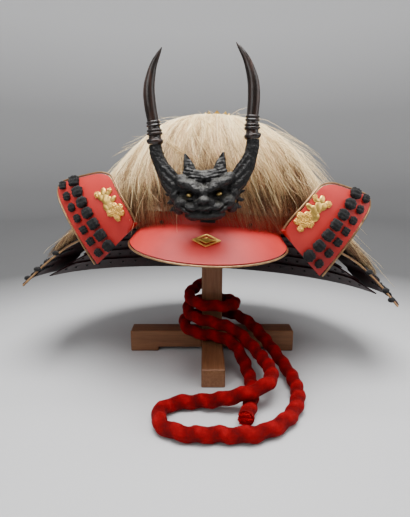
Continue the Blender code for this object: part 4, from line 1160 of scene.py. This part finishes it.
# The hair's surface as a grid in the helmet's frame: rows of points from the crown down, turn by turn
def hairGrid():
    shape = hairShape
    tree = surfaceTree("hair")
    centre = Vector(shape["centre"])
    grid = numpy.zeros((shape["around"], shape["steps"] + 1, 3))
    for i in range(shape["around"]):
        turn = 2 * math.pi * i / shape["around"] - math.pi
        line = []
        for j in range(shape["down"]):
            rise = shape["top"] + (shape["lowest"] - shape["top"]) * j / (shape["down"] - 1)
            ray = spoke(turn, math.radians(rise))
            start = helmet @ (centre + ray * shape["reach"])
            hit = tree.ray_cast(start, -(helmet.to_3x3() @ ray), shape["reach"])
            if hit[0] is not None:
                line.append(centre + ray * (shape["reach"] - hit[3]))
            elif line:
                break
        along = [0.0]
        for a, b in zip(line, line[1:]):
            along.append(along[-1] + (b - a).length)
        shares = numpy.linspace(0, along[-1], shape["steps"] + 1)
        for k in range(3):
            grid[i, :, k] = numpy.interp(shares, along, [p[k] for p in line])
    for _ in range(shape["calming"]):
        grid = (numpy.roll(grid, 1, 0) + 2 * grid + numpy.roll(grid, -1, 0)) / 4
    return grid


# Points of the grid at turns and shares; past share 1 they hang on from the edge
def readGrid(grid, turn, share):
    around, steps = grid.shape[0], grid.shape[1] - 1
    a = (turn + math.pi) / (2 * math.pi) * around
    low = numpy.floor(a).astype(int)
    a = (a - low)[..., None]
    inside = numpy.clip(share, 0, 1) * steps
    row = numpy.minimum(numpy.floor(inside).astype(int), steps - 1)
    b = (inside - row)[..., None]
    low, high = low % around, (low + 1) % around
    near = grid[low, row] * (1 - b) + grid[low, row + 1] * b
    far = grid[high, row] * (1 - b) + grid[high, row + 1] * b
    end = grid[low, steps] - grid[low, steps - 3]
    end = end / numpy.linalg.norm(end, axis=-1, keepdims=True)
    end[..., 2] -= hairShape["droop"]
    over = numpy.maximum(share - 1, 0)[..., None]
    return near * (1 - a) + far * a + end * over * hairShape["hang"]


def unit(vectors):
    return vectors / numpy.maximum(numpy.linalg.norm(vectors, axis=-1, keepdims=True), 1e-9)


def strandPaths(grid, turn, first, last, lock, offset, height, chance):
    shape = strandShape
    turn, offset = turn[:, None], offset[:, None]
    tau = numpy.linspace(0, 1, shape["rings"])[None, :]
    share = first[:, None] + (last - first)[:, None] * tau
    inside, past = numpy.clip(share, 0, 1), numpy.clip(share, 0, 1.1)
    out = numpy.linalg.norm(readGrid(grid, turn + 0 * share, share)[..., :2], axis=-1)
    gather = 1 - shape["gather"] * inside**1.1
    swing = shape["swirl"] * (0.5 + 0.5 * numpy.cos(turn)) * past**2.0 + chance["cross"][:, None] * past**1.4
    wave = numpy.sin(2 * math.pi * (share * lock["turns"][:, None] + lock["phase"][:, None]))
    wave = lock["wave"][:, None] * wave * shape["wave"]
    side = turn + swing + (wave + offset * gather) / numpy.maximum(out, 0.02)
    path = readGrid(grid, side, share)
    step = shape["step"]
    down = unit(readGrid(grid, side, share + step) - readGrid(grid, side, share - step))
    across = unit(readGrid(grid, side + step, share) - readGrid(grid, side - step, share))
    normal = unit(numpy.cross(across, down))
    outward = path - numpy.array(hairShape["centre"])
    normal *= numpy.sign(numpy.sum(normal * outward, axis=-1, keepdims=True))
    dome = 1 - numpy.clip(numpy.abs(offset) / lockDraws["wide"], 0, 1) ** 2
    body = numpy.sin(math.pi * inside**0.8)
    lift = height[:, None] + shape["relief"] * (dome * lock["rise"][:, None]) * body
    lift = lift + (chance["tip"][:, None] * tau**4) * shape["tipLift"] - shape["rootSink"] * (1 - tau) ** 3
    return path + normal * lift[..., None], normal, share


# Three-sided tubes with closed ends, all strands of a piece in one mesh
def strandMesh(name, path, normal, radius, values):
    count, rings = path.shape[:2]
    ahead = unit(numpy.gradient(path, axis=1))
    side = unit(numpy.cross(ahead, normal))
    up = numpy.cross(side, ahead)
    verts = numpy.zeros((count, rings, 3, 3))
    for k in range(3):
        turn = math.pi / 2 + 2 * math.pi * k / 3
        verts[:, :, k] = path + (side * math.cos(turn) + up * math.sin(turn)) * radius[..., None]
    turnOnly = numpy.array(helmet.to_3x3())
    verts = verts.reshape(-1, 3) @ turnOnly.T + numpy.array(helmet.translation)
    base = (numpy.arange(count) * rings * 3)[:, None, None, None]
    ring = (numpy.arange(rings - 1) * 3)[None, :, None, None]
    corners = numpy.array([[k, (k + 1) % 3, 3 + (k + 1) % 3, 3 + k] for k in range(3)])[None, None]
    quads = (base + ring + corners).reshape(-1, 4)
    starts = numpy.arange(count) * rings * 3
    last = (rings - 1) * 3
    caps = numpy.concatenate([starts[:, None] + [[2, 1, 0]], starts[:, None] + [[last, last + 1, last + 2]]])
    mesh = bpy.data.meshes.new(name)
    mesh.vertices.add(len(verts))
    mesh.vertices.foreach_set("co", verts.ravel())
    mesh.loops.add(quads.size + caps.size)
    mesh.loops.foreach_set("vertex_index", numpy.concatenate([quads.ravel(), caps.ravel()]))
    mesh.polygons.add(len(quads) + len(caps))
    begins = numpy.concatenate([numpy.arange(len(quads)) * 4, quads.size + numpy.arange(len(caps)) * 3])
    mesh.polygons.foreach_set("loop_start", begins)
    mesh.update(calc_edges=True)
    mesh.shade_smooth()
    for key, value in values.items():
        keepValues(mesh, key, numpy.repeat(value.ravel(), 3))
    piece = bpy.data.objects.new(name, mesh)
    bpy.context.scene.collection.objects.link(piece)
    return piece


# One draw for each hair: even between a pair's ends, about its middle, or true for a share of them
def dice(chancer, shape):
    def even(key):
        return chancer.uniform(*shape[key], shape["count"])

    def about(key):
        return chancer.normal(*shape[key], shape["count"])

    def some(key):
        return chancer.random(shape["count"]) < shape[key]

    return even, about, some


# Locks: where each lies round the head, where it starts and ends, its wave, its rise and its tone
def drawLocks(chancer):
    even, about, some = dice(chancer, lockDraws)
    lock = {"middle": even("middle")}
    frontal = some("frontShare")
    lock["middle"][frontal] = chancer.normal(*lockDraws["frontTurn"], frontal.sum())
    lock["first"] = numpy.where(some("crownShare"), even("crownFirst"), even("lowFirst"))
    lock["last"] = numpy.minimum(lock["first"] + even("length"), even("last"))
    pick = chancer.integers(0, lockDraws["count"], strandShape["count"])
    lock |= {"wave": about("wave"), "turns": even("turns"), "phase": even("phase"), "rise": even("rise")}
    lock |= {"tone": about("tone"), "swing": about("swing")}
    return {key: value[pick] for key, value in lock.items()}


def makeHair():
    shape = strandShape
    count = shape["count"]
    grid = hairGrid()
    chancer = numpy.random.default_rng(71)
    even, about, some = dice(chancer, shape)
    lock = drawLocks(chancer)
    turn = lock["middle"]
    offset = chancer.normal(0, lockDraws["wide"] * lockDraws["spread"], count)
    depth = chancer.random(count)
    height = shape["height"] + shape["layers"] * depth + about("unevenHeight")
    first = numpy.clip(lock["first"] + about("unevenFirst"), 0.0, shape["latestFirst"])
    last = lock["last"] + about("unevenLast")
    beside = (numpy.abs(turn) > shape["sideFrom"]) & some("sideShare")
    last = numpy.where(beside, even("sideLast"), last)
    chance = {"tip": about("tip"), "cross": about("cross") + lock["swing"]}
    loose = (numpy.abs(turn - shape["looseMiddle"]) < shape["looseHalf"]) & some("looseShare")
    last = numpy.where(loose, 1.0 + even("looseLast"), last)
    path, normal, share = strandPaths(grid, turn, first, last, lock, offset, height, chance)
    path = keepClear(path)
    tau = numpy.linspace(0, 1, shape["rings"])[None, :]
    wide = shape["thick"] * even("thickness")[:, None]
    radius = wide * (0.65 + 0.35 * numpy.minimum(1, tau * 5)) * (1 - shape["taper"] * tau**3)
    # Painted shade in the tone: darker at each lock's edges, further down the hair and in the deeper layers;
    # the rest is each lock's and strand's own tone
    low = numpy.clip((share - shape["lowFrom"]) / 0.6, 0, 1)
    edge = numpy.minimum(numpy.abs(offset) / lockDraws["wide"], 1.2)[:, None]
    tone = 1.00 - shape["edgeShade"] * edge**2 + lock["tone"][:, None]
    tone = tone + about("unevenTone")[:, None]
    tone = tone - shape["lowShade"] * low - shape["depthShade"] * (1 - depth)[:, None] ** 2
    ginger = numpy.where(loose, 0.95, numpy.where(some("gingerShare"), 0.8, 0.2))
    values = {"tone": tone, "along": share + 0 * tone, "ginger": ginger[:, None] + 0 * tone}
    order = chancer.permutation(count)
    for i, part in enumerate(numpy.array_split(order, shape["pieces"])):
        chosen = {key: value[part] for key, value in values.items()}
        piece = strandMesh(f"hair_strands_{i + 1}", path[part], normal[part], radius[part], chosen)
        place(piece, "hair", "pale_hair")
    makeFlyaways(grid, chancer)
    makeHairBase()


# Strands bend away from what stands in or beside the hair
def keepClear(path):
    solids = ["crest_mask", "horn_left", "horn_right", "crest_prong", "bowl", "brim", "crown_ornament"]
    for kind in ("turnback", "turnback_rim", "neck_wing", "wing_edge"):
        solids += [f"{kind}_left", f"{kind}_right"]
    solids += [f"neck_lame_{i}" for i in range(1, 6)]
    tree = surfaceTree(*solids)
    back = helmet.inverted()
    moved = 0
    for strand in path:
        for ring in strand:
            point = helmet @ Vector(ring)
            near, normal, _, gap = tree.find_nearest(point, clearance["look"])
            if near is None:
                continue
            if (point - near).dot(normal) < 0 or gap < clearance["room"]:
                ring[:] = back @ (near + normal * clearance["room"])
                moved += 1
    print("hair points moved clear:", moved)
    return path


# Single hairs that stand off the rest, a quarter of them in a fan on the right
def makeFlyaways(grid, chancer):
    shape = flyShape
    even, about, some = dice(chancer, shape)
    tau = numpy.linspace(0, 1, strandShape["rings"])[None, :]
    turn, start, fan = even("turn"), even("start"), some("fanShare")
    turn[fan] = chancer.normal(*shape["fanTurn"], fan.sum())
    start[fan] = chancer.normal(*shape["fanStart"], fan.sum())
    length = even("length")
    length[fan] = chancer.uniform(*shape["fanLength"], fan.sum())
    share = start[:, None] + length[:, None] * tau
    side = turn[:, None] + about("drift")[:, None] * tau + shape["bend"] * tau**2
    base = readGrid(grid, side, share)
    normal = unit(base - numpy.array(hairShape["centre"]))
    rise = (even("rise") + shape["fanRise"] * fan)[:, None] * tau ** even("curl")[:, None]
    path = keepClear(base + normal * rise[..., None])
    radius = shape["radius"] * (1 - 0.5 * tau**2) + numpy.zeros_like(share)
    tone = even("tone")[:, None] + numpy.zeros_like(share)
    values = {"tone": tone, "along": share, "ginger": numpy.full_like(share, shape["ginger"])}
    place(strandMesh("hair_flyaways", path, normal, radius, values), "hair", "pale_hair")


# The solid's own form, its outside drawn in to lie under the strands
def makeHairBase():
    shape = hairShape
    bm = mergedCopy("hair")
    back = helmet.inverted()
    centre = Vector(shape["centre"])
    tree = surfaceTree("hair")
    for vert in bm.verts:
        point = back @ vert.co - centre
        ray = helmet.to_3x3() @ point.normalized()
        start = helmet @ centre + ray * shape["reach"]
        hit = tree.ray_cast(start, -ray, shape["reach"])
        if hit[0] is not None and (hit[0] - vert.co).length < shape["insetMost"]:
            lower = smooth(-point.z * shape["insetFade"])
            vert.co -= ray * shape["inset"] * (1.0 + shape["lowInset"] * lower)
    base = fromMesh("hair_under_layer", bm)
    applied(base, "SUBSURF", levels=1, render_levels=1)
    place(base, "hairBase", "pale_hair", "hair")


makeHair()
print("hair made")
